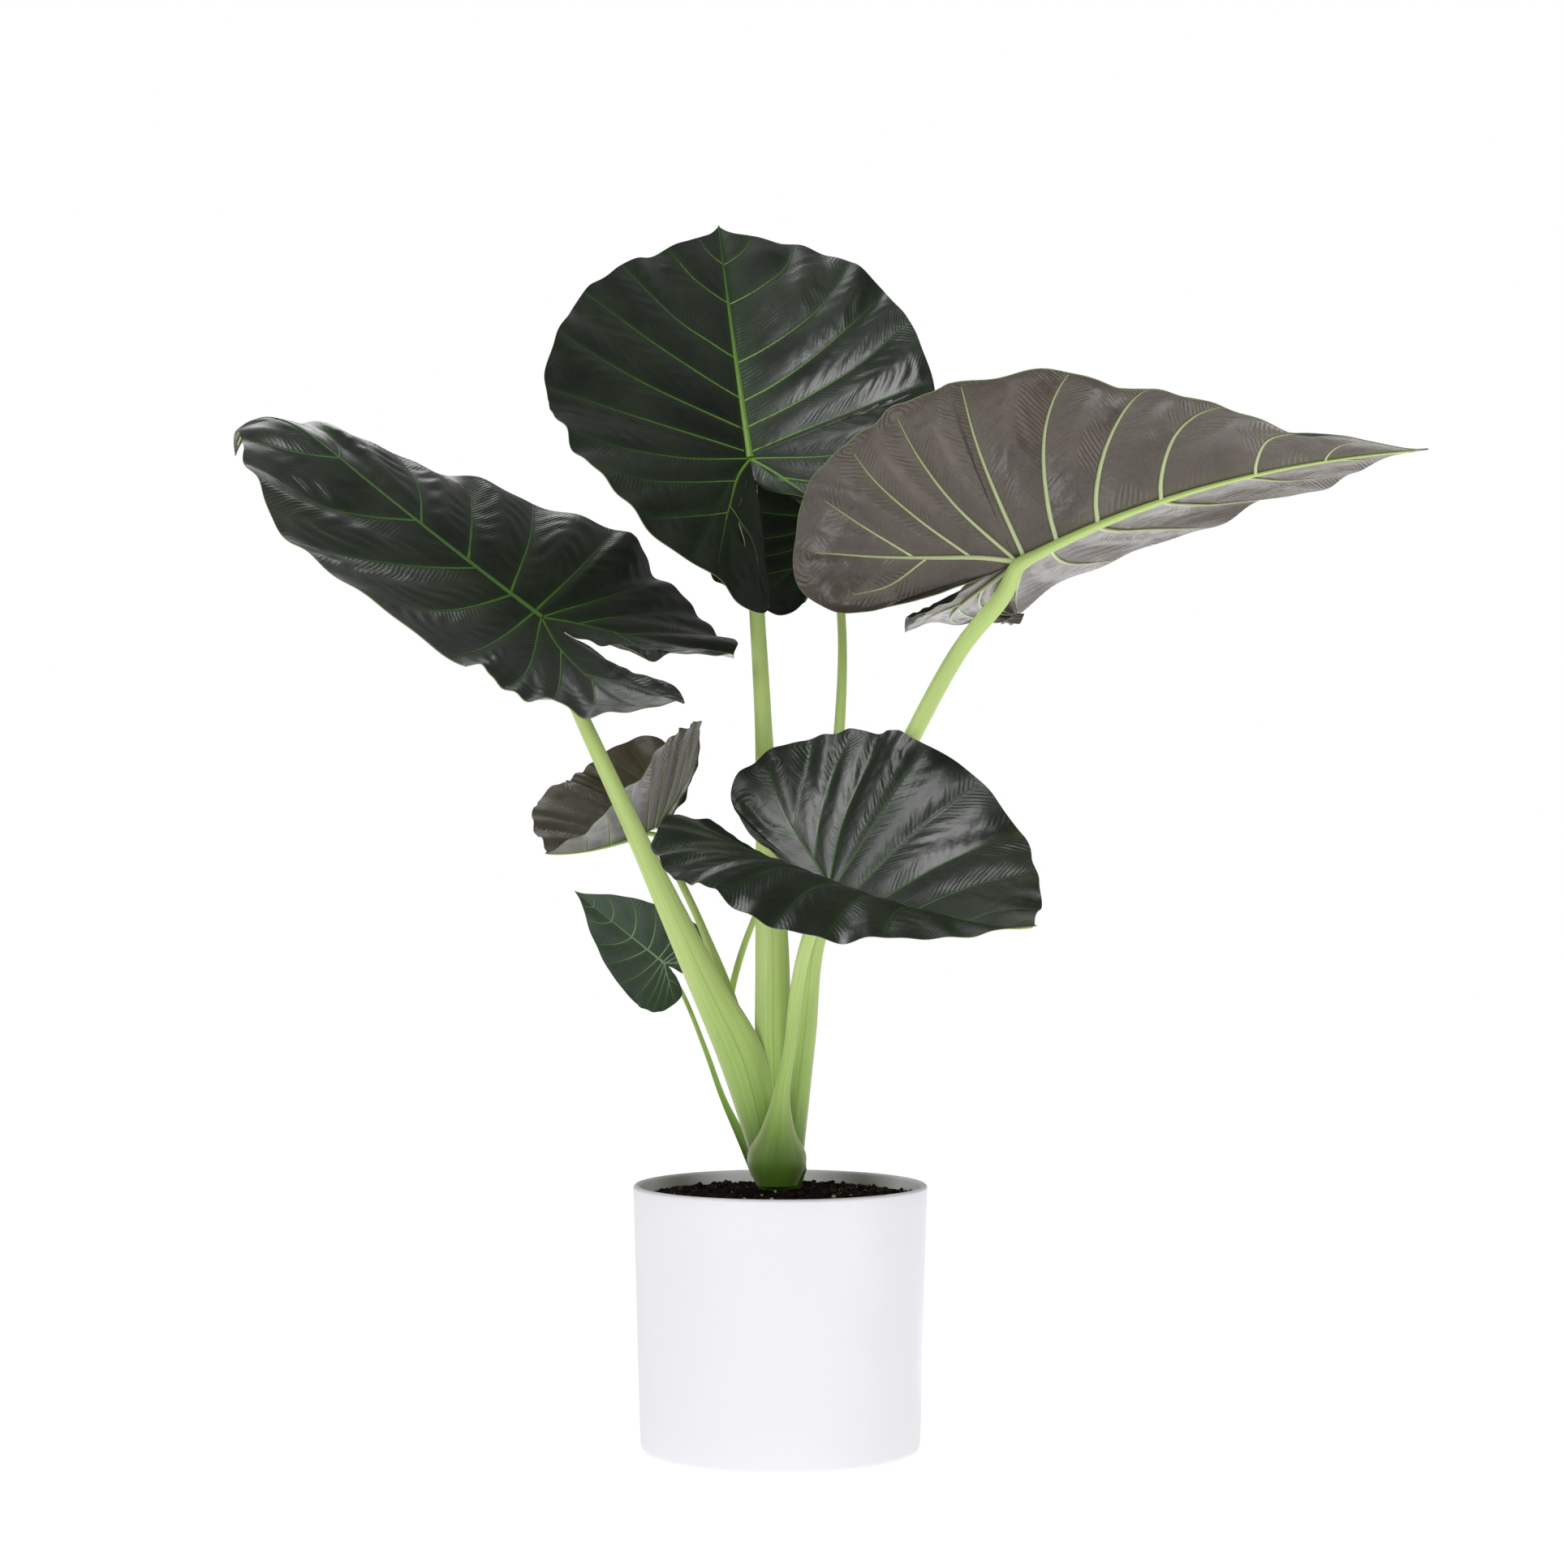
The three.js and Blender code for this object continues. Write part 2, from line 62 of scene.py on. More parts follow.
# One half's side veins on the same scale: [thickness, points]. They leave the midrib or the lobe's own rib.
HALF_VEINS = [
    [0.45, [[0.78, 0], [0.83, 0.07], [0.88, 0.11]]],
    [0.70, [[0.59, 0], [0.66, 0.13], [0.78, 0.24]]],
    [0.90, [[0.36, 0], [0.46, 0.25], [0.61, 0.49]]],
    [1.00, [[0.20, 0], [0.31, 0.36], [0.43, 0.70]]],
    [1.00, [[0.09, 0], [0.16, 0.47], [0.25, 0.87]]],
    [0.95, [[0.02, 0], [0.02, 0.48], [0.03, 0.95]]],
    [0.80, [[0, 0], [-0.16, 0.38], [-0.24, 0.70], [-0.27, 0.94]]],
    [1.10, [[0, 0], [-0.15, 0.10], [-0.36, 0.21], [-0.60, 0.34], [-0.86, 0.50]]],
    [0.60, [[-0.19, 0.12], [-0.34, 0.40], [-0.46, 0.68], [-0.51, 0.89]]],
    [0.50, [[-0.44, 0.25], [-0.60, 0.50], [-0.74, 0.74]]],
    [0.45, [[-0.38, 0.22], [-0.60, 0.19], [-0.80, 0.24]]],
]

# Each leaf, from the middle of the soil's surface. A stalk's points are [x, y, z, width, depth] up from the
# stem, and end is its thickness at the joint. heading turns from +X towards +Y, climb is above the horizon,
# roll lowers the right. Pairs are [left, right], seen from above with the tip ahead. fold lifts a half about
# the midrib, tipFold and lobeFold add to it, and curl rolls its outer edge up. fullness fills out the outline
# towards the tip. lobeClose draws a lobe's end in, or opens the notch where it is negative, and notch
# hollows the notch's side. bend and droop lift the midrib along its length and near its end, sweep turns it
# and twist rolls it. pucker scales the panels' puckers, and marginRoll turns the margin over.
PLAIN = dict(roll=0, droop=0, sweep=0, twist=0, **{key: [0, 0] for key in (
    "fullness", "lobeClose", "tipFold", "curl")})
LEAVES = {
    "crown": dict(
        stalk=[[-1, 12, 26, 26, 20], [-6, 18, 115, 31, 20], [-7, 26, 200, 29, 17], [-15, 72, 400, 15, 14],
               [-22, 108, 521, 13.5, 13]], end=12.5,
        joint=[-27, 100, 637], heading=102, climb=56, roll=-1,
        length=352, lobes=[180, 192], halfWidths=[204, 180], fullness=[0.15, 0.45],
        lobeClose=[0.3, -0.45], notch=[0.075, 0],
        fold=[22, 36], tipFold=[0, -20], lobeFold=[24, 5], curl=[-4, -8],
        bend=-16, lobeBend=[-8, -8], sweep=-5, twist=-8,
    ),
    "back": dict(
        stalk=[[4, 14, 26, 18, 16], [18, 30, 113, 16, 14], [33, 62, 228, 12, 11], [52, 122, 385, 10, 9.5],
               [56, 184, 503, 8, 8]], end=8,
        joint=[44, 205, 592], heading=82, climb=74,
        length=215, lobes=[125, 125], halfWidths=[125, 125],
        fold=[16, 16], lobeFold=[10, 10],
        bend=-20, droop=-20, lobeBend=[32, 32],
    ),
    "right": dict(
        stalk=[[7, 10, 18, 24, 20], [20, 4, 128, 21, 16], [32, 1, 218, 17, 15], [99, -12, 358, 15, 14.5],
               [153, -24, 458, 14.6, 14], [188, -36, 502, 15, 13]], end=13,
        joint=[199, -40, 530], heading=7, climb=29, roll=-84,
        length=357, lobes=[182, 176], halfWidths=[181, 181], fullness=[0.3, 0.3],
        fold=[71, -6], tipFold=[-12, -46], lobeFold=[-5, 7], curl=[0, -29],
        bend=-49, droop=31, lobeBend=[80, 0], sweep=25, twist=17, pucker=1.4, marginRoll=[0, 0.36],
    ),
    "left": dict(
        stalk=[[-8, 10, 14, 26, 22], [-31, 8, 106, 40, 16], [-62, 8, 170, 30, 18], [-122, 3, 298, 17, 16],
               [-174, 3, 410, 12.5, 12]], end=11.5,
        joint=[-206, 20, 488], heading=179, climb=37, roll=-40,
        length=388, lobes=[177, 142], halfWidths=[209, 179],
        fold=[4, 3], tipFold=[-19, -28], lobeFold=[-2, -24], curl=[35, -9],
        bend=-11, droop=-107, lobeBend=[49, 49], sweep=-20,
    ),
    "front": dict(
        stalk=[[-3, -2, 3, 35, 26], [-3, -3, 24, 52, 32], [-2, -10, 48, 30, 20], [1, -16, 80, 14, 13],
               [8, -20, 120, 10.5, 10], [14, -28, 172, 11, 10], [24, -54, 216, 11, 10]],
        end=9,
        joint=[40, -90, 257], heading=-36, climb=-13, roll=23,
        length=262, lobes=[148, 134], halfWidths=[156, 162],
        fold=[31, 49], tipFold=[-40, -40], lobeFold=[-10, -5], curl=[7, -54],
        bend=22, droop=8, lobeBend=[26, 26], sweep=-28, twist=7,
    ),
    "young": dict(
        stalk=[[-8, 14, 22, 14, 13], [-20, 24, 78, 17, 14], [-46, 42, 163, 13, 11], [-68, 58, 220, 7, 7],
               [-90, 100, 264, 6.7, 6.7]], end=6,
        joint=[-112, 150, 309], heading=240, climb=-14, roll=10,
        length=225, lobes=[130, 130], halfWidths=[92, 106],
        fold=[62, 36], tipFold=[-42, 14], lobeFold=[-5, -5], curl=[-3, -3],
        bend=12, lobeBend=[55, 78], sweep=18, twist=12,
    ),
    "low": dict(
        stalk=[[-18, 18, 11, 14, 12], [-33, 30, 40, 9, 8], [-49, 58, 70, 5.5, 5.5], [-67, 104, 113, 4.4, 4.4],
               [-87, 136, 158, 4, 4]], end=4,
        joint=[-103, 110, 188], heading=214, climb=35, roll=-112,
        length=109, lobes=[31, 31], halfWidths=[45, 48], fullness=[0.2, 0.3],
        fold=[16, 16], lobeFold=[13, 15], curl=[-4, -4],
        bend=-9, droop=-9, lobeBend=[14, 14], sweep=1, twist=3,
    ),
    "hidden": dict(
        stalk=[[-3, 26, 28, 12, 11], [-26, 48, 90, 8, 8], [-44, 62, 148, 6.5, 6.5], [-37, 72, 188, 6, 6],
               [-22, 88, 230, 5.5, 5.5]], end=5,
        joint=[-8, 104, 262], heading=95, climb=30,
        length=88, lobes=[34, 34], halfWidths=[39, 39],
        fold=[20, 20], lobeFold=[10, 10],
        bend=-25, droop=-20, lobeBend=[10, 10],
    ),
}
LEAVES = {name: {**PLAIN, **leaf} for name, leaf in LEAVES.items()}

BLADE_THICKNESS = 0.8
FULL_LEAF = 352
SPINE_STEPS = 72

# Waves along a leaf's margin, each [length in mm, share], and how far from the tip and the notch they fade.
SCALLOPS, SCALLOP_DEPTH, SCALLOP_FADE = [[97, 0.45], [61, 0.35], [41, 0.2]], 0.011, 90
RUFFLES, RUFFLE_HEIGHT, RUFFLE_FADE = [[118, 0.5], [71, 0.32], [43, 0.18]], 7.5, 60
# Where along a lobe its end is drawn in, where its notch is opened, and the middle and reach of a hollow.
LOBE_DRAWN, NOTCH_OPENED, NOTCH_HOLLOW = (0.72, 0.96), (0.12, 0.6), (0.42, 0.34)
ROLL_FROM, ROLL_EASE = 0.72, 0.56
SWELL, SWELL_PANEL = 0.05, 60
PUCKER_HEIGHT, PUCKER_LENGTH = 0.62, 21

VEIN_SIDES, VEIN_STEP = 8, 3.5
MIDRIB_WIDTH, CROWN_MIDRIB_WIDTH, UPPER_VEIN_WIDTH, UNDER_VEIN_WIDTH = 4.4, 7.5, 2.4, 4.3
YOUNG_VEIN_SHARE = 0.55
STALK_SIDES, SHEATH_HEIGHT, SHEATH_HOLLOW, SHEATH_WING = 20, 190, 0.75, 0.18
# A stalk whose second point lies nearer the front than this opens its sheath the other way.
FRONT_STALK = 22


# ---------------------------------------------------------------- small helpers

def linear(code):
    """An sRGB hex colour as linear RGBA."""
    parts = [int(code[i:i + 2], 16) / 255 for i in (1, 3, 5)]
    return (*[c / 12.92 if c <= 0.04045 else ((c + 0.055) / 1.055) ** 2.4 for c in parts], 1.0)


def add(tree, kind, inputs=None, stops=None, **settings):
    """Adds a shader node. Inputs are values, or sockets or nodes that feed them, a node by its first output.
    Stops are a ramp's [place, colour]."""
    node = tree.nodes.new("ShaderNode" + kind)
    for name, value in settings.items():
        setattr(node, name, value)
    for name, value in (inputs or {}).items():
        if isinstance(value, (bpy.types.NodeSocket, bpy.types.Node)):
            tree.links.new(getattr(value, "outputs", [value])[0], node.inputs[name])
        else:
            node.inputs[name].default_value = value
    for i, (place, code) in enumerate(stops or []):
        ramp = node.color_ramp.elements
        stop = ramp[i] if i < 2 else ramp.new(place)
        stop.position = place
        stop.color = linear(code)
    return node


def finish_named(name, **values):
    """A new material: its node tree and its shader, with the same-all-over values set on the shader."""
    made = bpy.data.materials.new(name)
    made.use_nodes = True
    shader = made.node_tree.nodes["Principled BSDF"]
    for socket, value in values.items():
        shader.inputs[socket.replace("_", " ")].default_value = value
    return made, made.node_tree, shader


def smooth_curve(points, places):
    """Points on a smooth centripetal curve through the given ones, at places from 0 to 1."""
    points = np.array(points, float)
    last = len(points) - 1
    padded = np.vstack([2 * points[0] - points[1], points, 2 * points[-1] - points[-2]])
    scaled = np.clip(np.asarray(places, float), 0, 1) * last
    cell = np.minimum(scaled.astype(int), last - 1)
    weight = (scaled - cell)[:, None]
    p0, p1, p2, p3 = (padded[cell + i] for i in range(4))
    gap0, gap1, gap2 = (np.maximum(np.linalg.norm(b - a, axis=1), 1e-9)[:, None] ** 0.5
                        for a, b in ((p0, p1), (p1, p2), (p2, p3)))
    tangent1 = ((p1 - p0) / gap0 - (p2 - p0) / (gap0 + gap1) + (p2 - p1) / gap1) * gap1
    tangent2 = ((p2 - p1) / gap1 - (p3 - p1) / (gap1 + gap2) + (p3 - p2) / gap2) * gap1
    square, cube = weight ** 2, weight ** 3
    return ((2 * cube - 3 * square + 1) * p1 + (cube - 2 * square + weight) * tangent1
            + (3 * square - 2 * cube) * p2 + (cube - square) * tangent2)


def unit(vectors):
    """The same directions at length 1."""
    return vectors / np.maximum(np.linalg.norm(vectors, axis=-1, keepdims=True), 1e-9)


def evenly(points, spacing):
    """A polyline's points moved to even steps of about a spacing."""
    reach = np.concatenate([[0], np.cumsum(np.linalg.norm(np.diff(points, axis=0), axis=1))])
    steps = np.linspace(0, reach[-1], max(3, int(reach[-1] / spacing) + 1))
    return np.stack([np.interp(steps, reach, points[:, i]) for i in range(points.shape[1])], 1)


def piece(name, vertices, faces, materials, face_material=None, attributes=None, sharp=60):
    """A smooth-shaded mesh object in metres that rides on the plant's one body."""
    mesh = bpy.data.meshes.new(name)
    mesh.from_pydata((np.asarray(vertices) * MM).tolist(), [], [list(f) for f in faces])
    for made in materials:
        mesh.materials.append(made)
    if face_material is not None:
        mesh.polygons.foreach_set("material_index", np.asarray(face_material, np.int32))
    for label, values in (attributes or {}).items():
        mesh.attributes.new(label, "FLOAT", "POINT").data.foreach_set("value", np.asarray(values, np.float32))
    mesh.polygons.foreach_set("use_smooth", np.ones(len(mesh.polygons), bool))
    mesh.set_sharp_from_angle(angle=math.radians(sharp))
    mesh.update()
    made = bpy.data.objects.new(name, mesh)
    bpy.context.scene.collection.objects.link(made)
    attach(made, "root")
    return made


def ring_faces(rings, sides, offset=0):
    """Quads of a tube whose vertices come ring by ring, with a face across each end."""
    ring, side = np.meshgrid(np.arange(rings - 1), np.arange(sides), indexing="ij")
    a = offset + ring * sides + side
    b = offset + ring * sides + (side + 1) % sides
    faces = np.stack([a, b, b + sides, a + sides], -1).reshape(-1, 4).tolist()
    faces.append(list(range(offset + sides - 1, offset - 1, -1)))
    top = offset + (rings - 1) * sides
    faces.append(list(range(top, top + sides)))
    return faces


def tube(path, side, front, widths, depths, sides, offset=0):
    """Vertices and faces of a swept tube with elliptic sections; side and front are its section's axes."""
    angle = np.linspace(0, 2 * math.pi, sides, endpoint=False)
    ring = (path[:, None] + side[:, None] * (np.cos(angle)[None, :, None] * widths[:, None, None] / 2)
            + front[:, None] * (np.sin(angle)[None, :, None] * depths[:, None, None] / 2))
    return ring.reshape(-1, 3), ring_faces(len(path), sides, offset)


# ---------------------------------------------------------------- leaf shape

def blade_frame(leaf):
    """The blade's directions at its joint: along the midrib, to its left, and out of its upper side."""
    h, c, r = (math.radians(leaf[key]) for key in ("heading", "climb", "roll"))
    along = np.array([math.cos(c) * math.cos(h), math.cos(c) * math.sin(h), math.sin(c)])
    level = np.array([-math.sin(c) * math.cos(h), -math.sin(c) * math.sin(h), math.cos(c)])
    flank = np.cross(level, along)
    return along, flank * math.cos(r) + level * math.sin(r), level * math.cos(r) - flank * math.sin(r)


def spine(leaf, half, towards_tip):
    """Stations of the midrib's line towards the tip, or back into one lobe: places, left and up."""
    base_along, base_left, base_up = blade_frame(leaf)
    u = np.linspace(0, 1, SPINE_STEPS + 1)[:, None]
    if towards_tip:
        pitch = np.radians(leaf["bend"] * u + leaf["droop"] * np.maximum(0, (u - 0.6) / 0.4) ** 2)
        yaw, twist = np.radians(leaf["sweep"] * u), np.radians(leaf["twist"] * u)
        length = leaf["length"]
    else:
        pitch = np.radians(-leaf["lobeBend"][half] * u)
        yaw, twist = 0 * u, 0 * u
        length = -leaf["lobes"][half]
    level = base_along * np.cos(yaw) + base_left * np.sin(yaw)
    flank = base_left * np.cos(yaw) - base_along * np.sin(yaw)
    along = level * np.cos(pitch) + base_up * np.sin(pitch)
    rise = base_up * np.cos(pitch) - level * np.sin(pitch)
    steps = (along[1:] + along[:-1]) * (0.5 * length / SPINE_STEPS)
    at = GROUND + np.array(leaf["joint"]) + np.vstack([np.zeros(3), np.cumsum(steps, 0)])
    return at, flank * np.cos(twist) + rise * np.sin(twist), rise * np.cos(twist) - flank * np.sin(twist)


def blade_points(leaf, half, along, across):
    """Points of one half's middle surface, for places along (tip 1, lobe -1) and across (edge 1)."""
    made = np.zeros((*along.shape, 3))
    side = 1 if half == 0 else -1
    u = np.abs(along)
    for towards_tip, extra_fold in ((True, "tipFold"), (False, "lobeFold")):
        part = (along >= 0) == towards_tip
        stations = np.linspace(0, 1, SPINE_STEPS + 1)
        at, left, up = (np.stack([np.interp(u, stations, axis[:, i]) for i in range(3)], -1)
                        for axis in spine(leaf, half, towards_tip))
        fold = np.radians(leaf["fold"][half] + leaf[extra_fold][half] * u)
        curl = math.radians(leaf["curl"][half]) or 1e-4
        share = across
        if towards_tip:
            share = across ** (1 - leaf["fullness"][half] * (1 - np.minimum(u, 1) ** 6))
        radius = leaf["halfWidths"][half] / curl
        out = side * radius * (np.sin(fold + curl * share) - np.sin(fold))
        lift = radius * (np.cos(fold) - np.cos(fold + curl * share))
        made = np.where(part[..., None], at + left * out[..., None] + up * lift[..., None], made)
    return made


def vein_lines(leaf, half, random):
    """This half's veins as [thickness, points (along, across)], each a little different on every leaf."""
    lines = [[1, np.stack([np.linspace(0, 1, 60), np.zeros(60)], 1)]]
    for thickness, points in HALF_VEINS:
        course = smooth_curve(points, np.linspace(0, 1, 24))
        progress = np.linspace(0, 1, 24)
        leaves_midrib = points[0][1] == 0 and points[0][0] > 0.05
        shift = random.uniform(-0.018, 0.018) * (1 if leaves_midrib else progress)
        course[:, 0] += shift + random.uniform(-0.02, 0.02) * progress * leaves_midrib
        course[:, 1] *= 1 + random.uniform(-0.03, 0.01) * progress
        lines.append([thickness, course])
    return lines


def nearest_vein(leaf, half, along, across, lines):
    """For each place: how far off the nearest vein is, how far along the vein that is, and how much
    further off the next vein is, in mm."""
    def flat(a, w):
        return np.stack([a * np.where(a >= 0, leaf["length"], leaf["lobes"][half]),
                         w * leaf["halfWidths"][half]], -1)
    here = flat(along, across).reshape(-1, 2)
    away = np.full(len(here), 1e3)
    second = np.full(len(here), 1e3)
    reach = np.zeros(len(here))
    for number, (_, course) in enumerate(lines):
        line = flat(course[:, 0], course[:, 1])
        passed = number * 37.0
        own = np.full(len(here), 1e3)
        own_reach = np.zeros(len(here))
        for start, end in zip(line[:-1], line[1:]):
            step = end - start
            length = np.linalg.norm(step)
            share = np.clip((here - start) @ step / max(length ** 2, 1e-9), 0, 1)
            gap = np.linalg.norm(here - start - share[:, None] * step, axis=1)
            closer = gap < own
            own[closer] = gap[closer]
            own_reach[closer] = passed + share[closer] * length
            passed += length
        closer = own < away
        second = np.where(closer, away, np.minimum(second, own))
        reach = np.where(closer, own_reach, reach)
        away = np.where(closer, own, away)
    return [values.reshape(along.shape) for values in (away, reach, second - away)]


def waves(margin, table, size, phases):
    """Waves along the margin, from a table of [length, share]."""
    return sum(np.sin(2 * math.pi * margin / (length * size) + phase) * share
               for (length, share), phase in zip(table, phases))


def fade_at_ends(margin, reach):
    """1 along the margin, falling to 0 at the tip and at the notch."""
    return np.minimum(1, np.minimum(margin, margin[-1] - margin) / reach)


class Blade:
    """One leaf's middle surface as a grid of rings about the joint, with its relief."""

    def __init__(self, name, leaf, spacing):
        self.leaf = leaf
        self.size = leaf["length"] / FULL_LEAF
        random = np.random.default_rng(sum(map(ord, name)))
        fine = smooth_curve([[*p, 0] for p in HALF_OUTLINE], np.linspace(0, 1, 900))[:, :2]
        fine[:, 1] = np.maximum(fine[:, 1], 0)
        scale = np.array([leaf["length"] * 0.75, max(leaf["halfWidths"])])
        self.half_count = max(40, int(np.linalg.norm(np.diff(fine * scale, axis=0), axis=1).sum() / spacing))
        outline = evenly(fine * scale, spacing)
        outline = smooth_curve(outline, np.linspace(0, 1, self.half_count)) / scale
        outline[:, 1] = np.maximum(outline[:, 1], 0)
        outline[0], outline[-1] = [1, 0], HALF_OUTLINE[-1]
        self.outline = outline
        self.bearing = np.maximum.accumulate(np.arctan2(outline[:, 1], outline[:, 0]))
        self.bearing[-1] = math.pi
        self.ring_count = max(14, int(max(leaf["halfWidths"]) / spacing))
        rings = np.linspace(0, 1, self.ring_count + 1)[:, None]
        steps = np.diff(outline * scale, axis=0, prepend=outline[:1] * scale)
        margin = np.cumsum(np.linalg.norm(steps, axis=1))
        self.lines = []
        points, aways, reaches, gaps = [], [], [], []
        for half in (0, 1):
            lines = vein_lines(leaf, half, random)
            self.lines.append(lines)
            # Scalloped margin: shallow bites between the ends of the side veins.
            phases = random.uniform(0, 2 * math.pi, 3)
            bites = waves(margin, SCALLOPS, max(self.size, 0.45), phases)
            inward = 1 - SCALLOP_DEPTH * (1 + bites) * fade_at_ends(margin, SCALLOP_FADE * self.size)
            start, end = LOBE_DRAWN if leaf["lobeClose"][half] > 0 else NOTCH_OPENED
            step = np.clip((-outline[:, 0] - start) / (end - start), 0, 1)
            drawn = leaf["lobeClose"][half] * step ** 2 * (3 - 2 * step)
            edge = np.maximum(0, outline[:, 1] - drawn * (1 - outline[:, 1]))
            # A notch's side may be hollowed half way along the lobe.
            inner = (-outline[:, 0] > 0) & (np.arange(len(outline)) > np.argmin(outline[:, 0]))
            middle, width = NOTCH_HOLLOW
            bulge = np.clip(1 - ((-outline[:, 0] - middle) / width) ** 2, 0, 1) ** 2 * inner
            edge = edge + leaf.get("notch", [0, 0])[half] * bulge
            along = rings * outline[:, 0] * (1 + (inward - 1) * rings ** 3)
            across = rings * edge * (1 + (inward - 1) * rings ** 3)
            away, reach, gap = nearest_vein(leaf, half, along, across, lines)
            points.append(blade_points(leaf, half, along, across))
            aways.append(away)
            reaches.append(reach)
            gaps.append(gap)
        self.random = random
        self.rings = rings
        self.margin = margin
        loop = lambda pair: np.concatenate([pair[0], pair[1][:, -2:0:-1]], 1)
        middle = loop(points)
        normal = self.normals(middle)
        self.away, self.reach, self.gap = loop(aways), loop(reaches), loop(gaps)
        relief = self.relief(loop)
        self.middle = middle + normal * relief[..., None]
        self.normal = self.normals(self.middle)

    def normals(self, grid):
        """Upward normals of a grid of rings, averaged at the joint."""
        around = np.roll(grid, -1, 1) - np.roll(grid, 1, 1)
        outward = np.gradient(grid, axis=0)
        made = unit(np.cross(outward, around))
        made[0] = unit(made[1].mean(0))
        return made

    def relief(self, loop):
        """Heights of the blade's relief over its smooth surface, in mm."""
        leaf, size, rings, margin = self.leaf, self.size, self.rings, self.margin
        halves = []
        for half in (0, 1):
            phases = self.random.uniform(0, 2 * math.pi, 3)
            ripple = waves(margin, RUFFLES, max(size, 0.5), phases)
            ends = fade_at_ends(margin, RUFFLE_FADE * size)
            # A rolled margin turns over steadily over the outer part of the blade.
            roll = leaf.get("marginRoll", [0, 0])[half] * leaf["halfWidths"][half]
            rolled = roll * np.maximum(0, rings - ROLL_FROM) ** 2 / ROLL_EASE * ends
            halves.append(rings ** 4 * ripple * ends * RUFFLE_HEIGHT * size - rolled)
        ruffle = loop(halves)
        panel = 2 * self.away + self.gap + 1
        swell = SWELL * np.minimum(panel, SWELL_PANEL) * 4 * self.away * (panel - self.away) / panel ** 2
        pucker = np.sin(2 * math.pi * (self.reach - 0.9 * self.away) / (PUCKER_LENGTH * max(size, 0.5))
                        + 1.6 * np.sin(self.reach / 17) + 1.1 * np.sin(self.away / 7 + self.reach / 41))
        clear_of_veins = np.clip(self.gap / 14, 0, 1) ** 1.5
        off_vein = 1 - np.exp(-(self.away / (9 * size)) ** 2)
        pucker *= (PUCKER_HEIGHT * leaf.get("pucker", 1) * size ** 0.7 * clear_of_veins * off_vein
                   * (0.35 + 0.65 * rings))
        pucker *= np.minimum(1, (1 - rings) / 0.15)
        fade = np.minimum(1, (1 - rings) / 0.1) * 0.8 + 0.2
        return ruffle * 0.8 + (swell + pucker) * fade

    def sample(self, half, course):
        """Points and normals of the blade's middle surface at places (along, across) of one half."""
        bearing = np.arctan2(np.maximum(course[:, 1], 0), course[:, 0])
        column = np.interp(bearing, self.bearing, np.arange(self.half_count))
        radius = np.interp(bearing, self.bearing, np.linalg.norm(self.outline, axis=1))
        ring = np.clip(np.linalg.norm(course, axis=1) / radius, 0, 1) * self.ring_count
        total = self.middle.shape[1]
        column = column if half == 0 else (total - column) % total
        ring_low = np.minimum(ring.astype(int), self.ring_count - 1)
        column_low = np.floor(column).astype(int)
        ring_part = (ring - ring_low)[:, None]
        column_part = (column - column_low)[:, None]
        found = []
        for grid in (self.middle, self.normal):
            low, high = (grid[row, column_low % total] * (1 - column_part)
                         + grid[row, (column_low + 1) % total] * column_part
                         for row in (ring_low, ring_low + 1))
            found.append(low * (1 - ring_part) + high * ring_part)
        return found[0], unit(found[1])


def blade_shell(name, blade, finishes):
    """The blade itself: a thin closed shell with an upper side, an underside and a pale margin."""
    rings, total = blade.ring_count, blade.middle.shape[1]
    thin = BLADE_THICKNESS * max(blade.size, 0.6) / 2
    flat, normal = (np.concatenate([grid[:1, 0], grid[1:].reshape(-1, 3)])
                    for grid in (blade.middle, blade.normal))
    fields = {label: np.tile(np.concatenate([[0], grid[1:].ravel()]) * MM, 2) for label, grid in (
        ("vein_away", blade.away), ("vein_reach", blade.reach), ("vein_gap", blade.gap))}
    ring, column = np.meshgrid(np.arange(rings - 1), np.arange(total), indexing="ij")
    a = 1 + ring * total + column
    b = 1 + ring * total + (column + 1) % total
    quads = np.stack([a, a + total, b + total, b], -1).reshape(-1, 4)
    turn = np.arange(total)
    fan = np.stack([np.zeros(total, int), 1 + turn, 1 + (turn + 1) % total], -1)
    count = len(flat)
    rim = 1 + (rings - 1) * total + turn
    rim_next = 1 + (rings - 1) * total + (turn + 1) % total
    band = np.stack([rim, rim + count, rim_next + count, rim_next], -1)
    faces = (quads.tolist() + fan.tolist() + (quads[:, ::-1] + count).tolist()
             + (fan[:, ::-1] + count).tolist() + band.tolist())
    layer = len(quads) + len(fan)
    return piece(
        f"blade_{name}", np.concatenate([flat + normal * thin, flat - normal * thin]), faces, finishes,
        np.repeat([0, 1, 2], [layer, layer, total]), fields,
    )


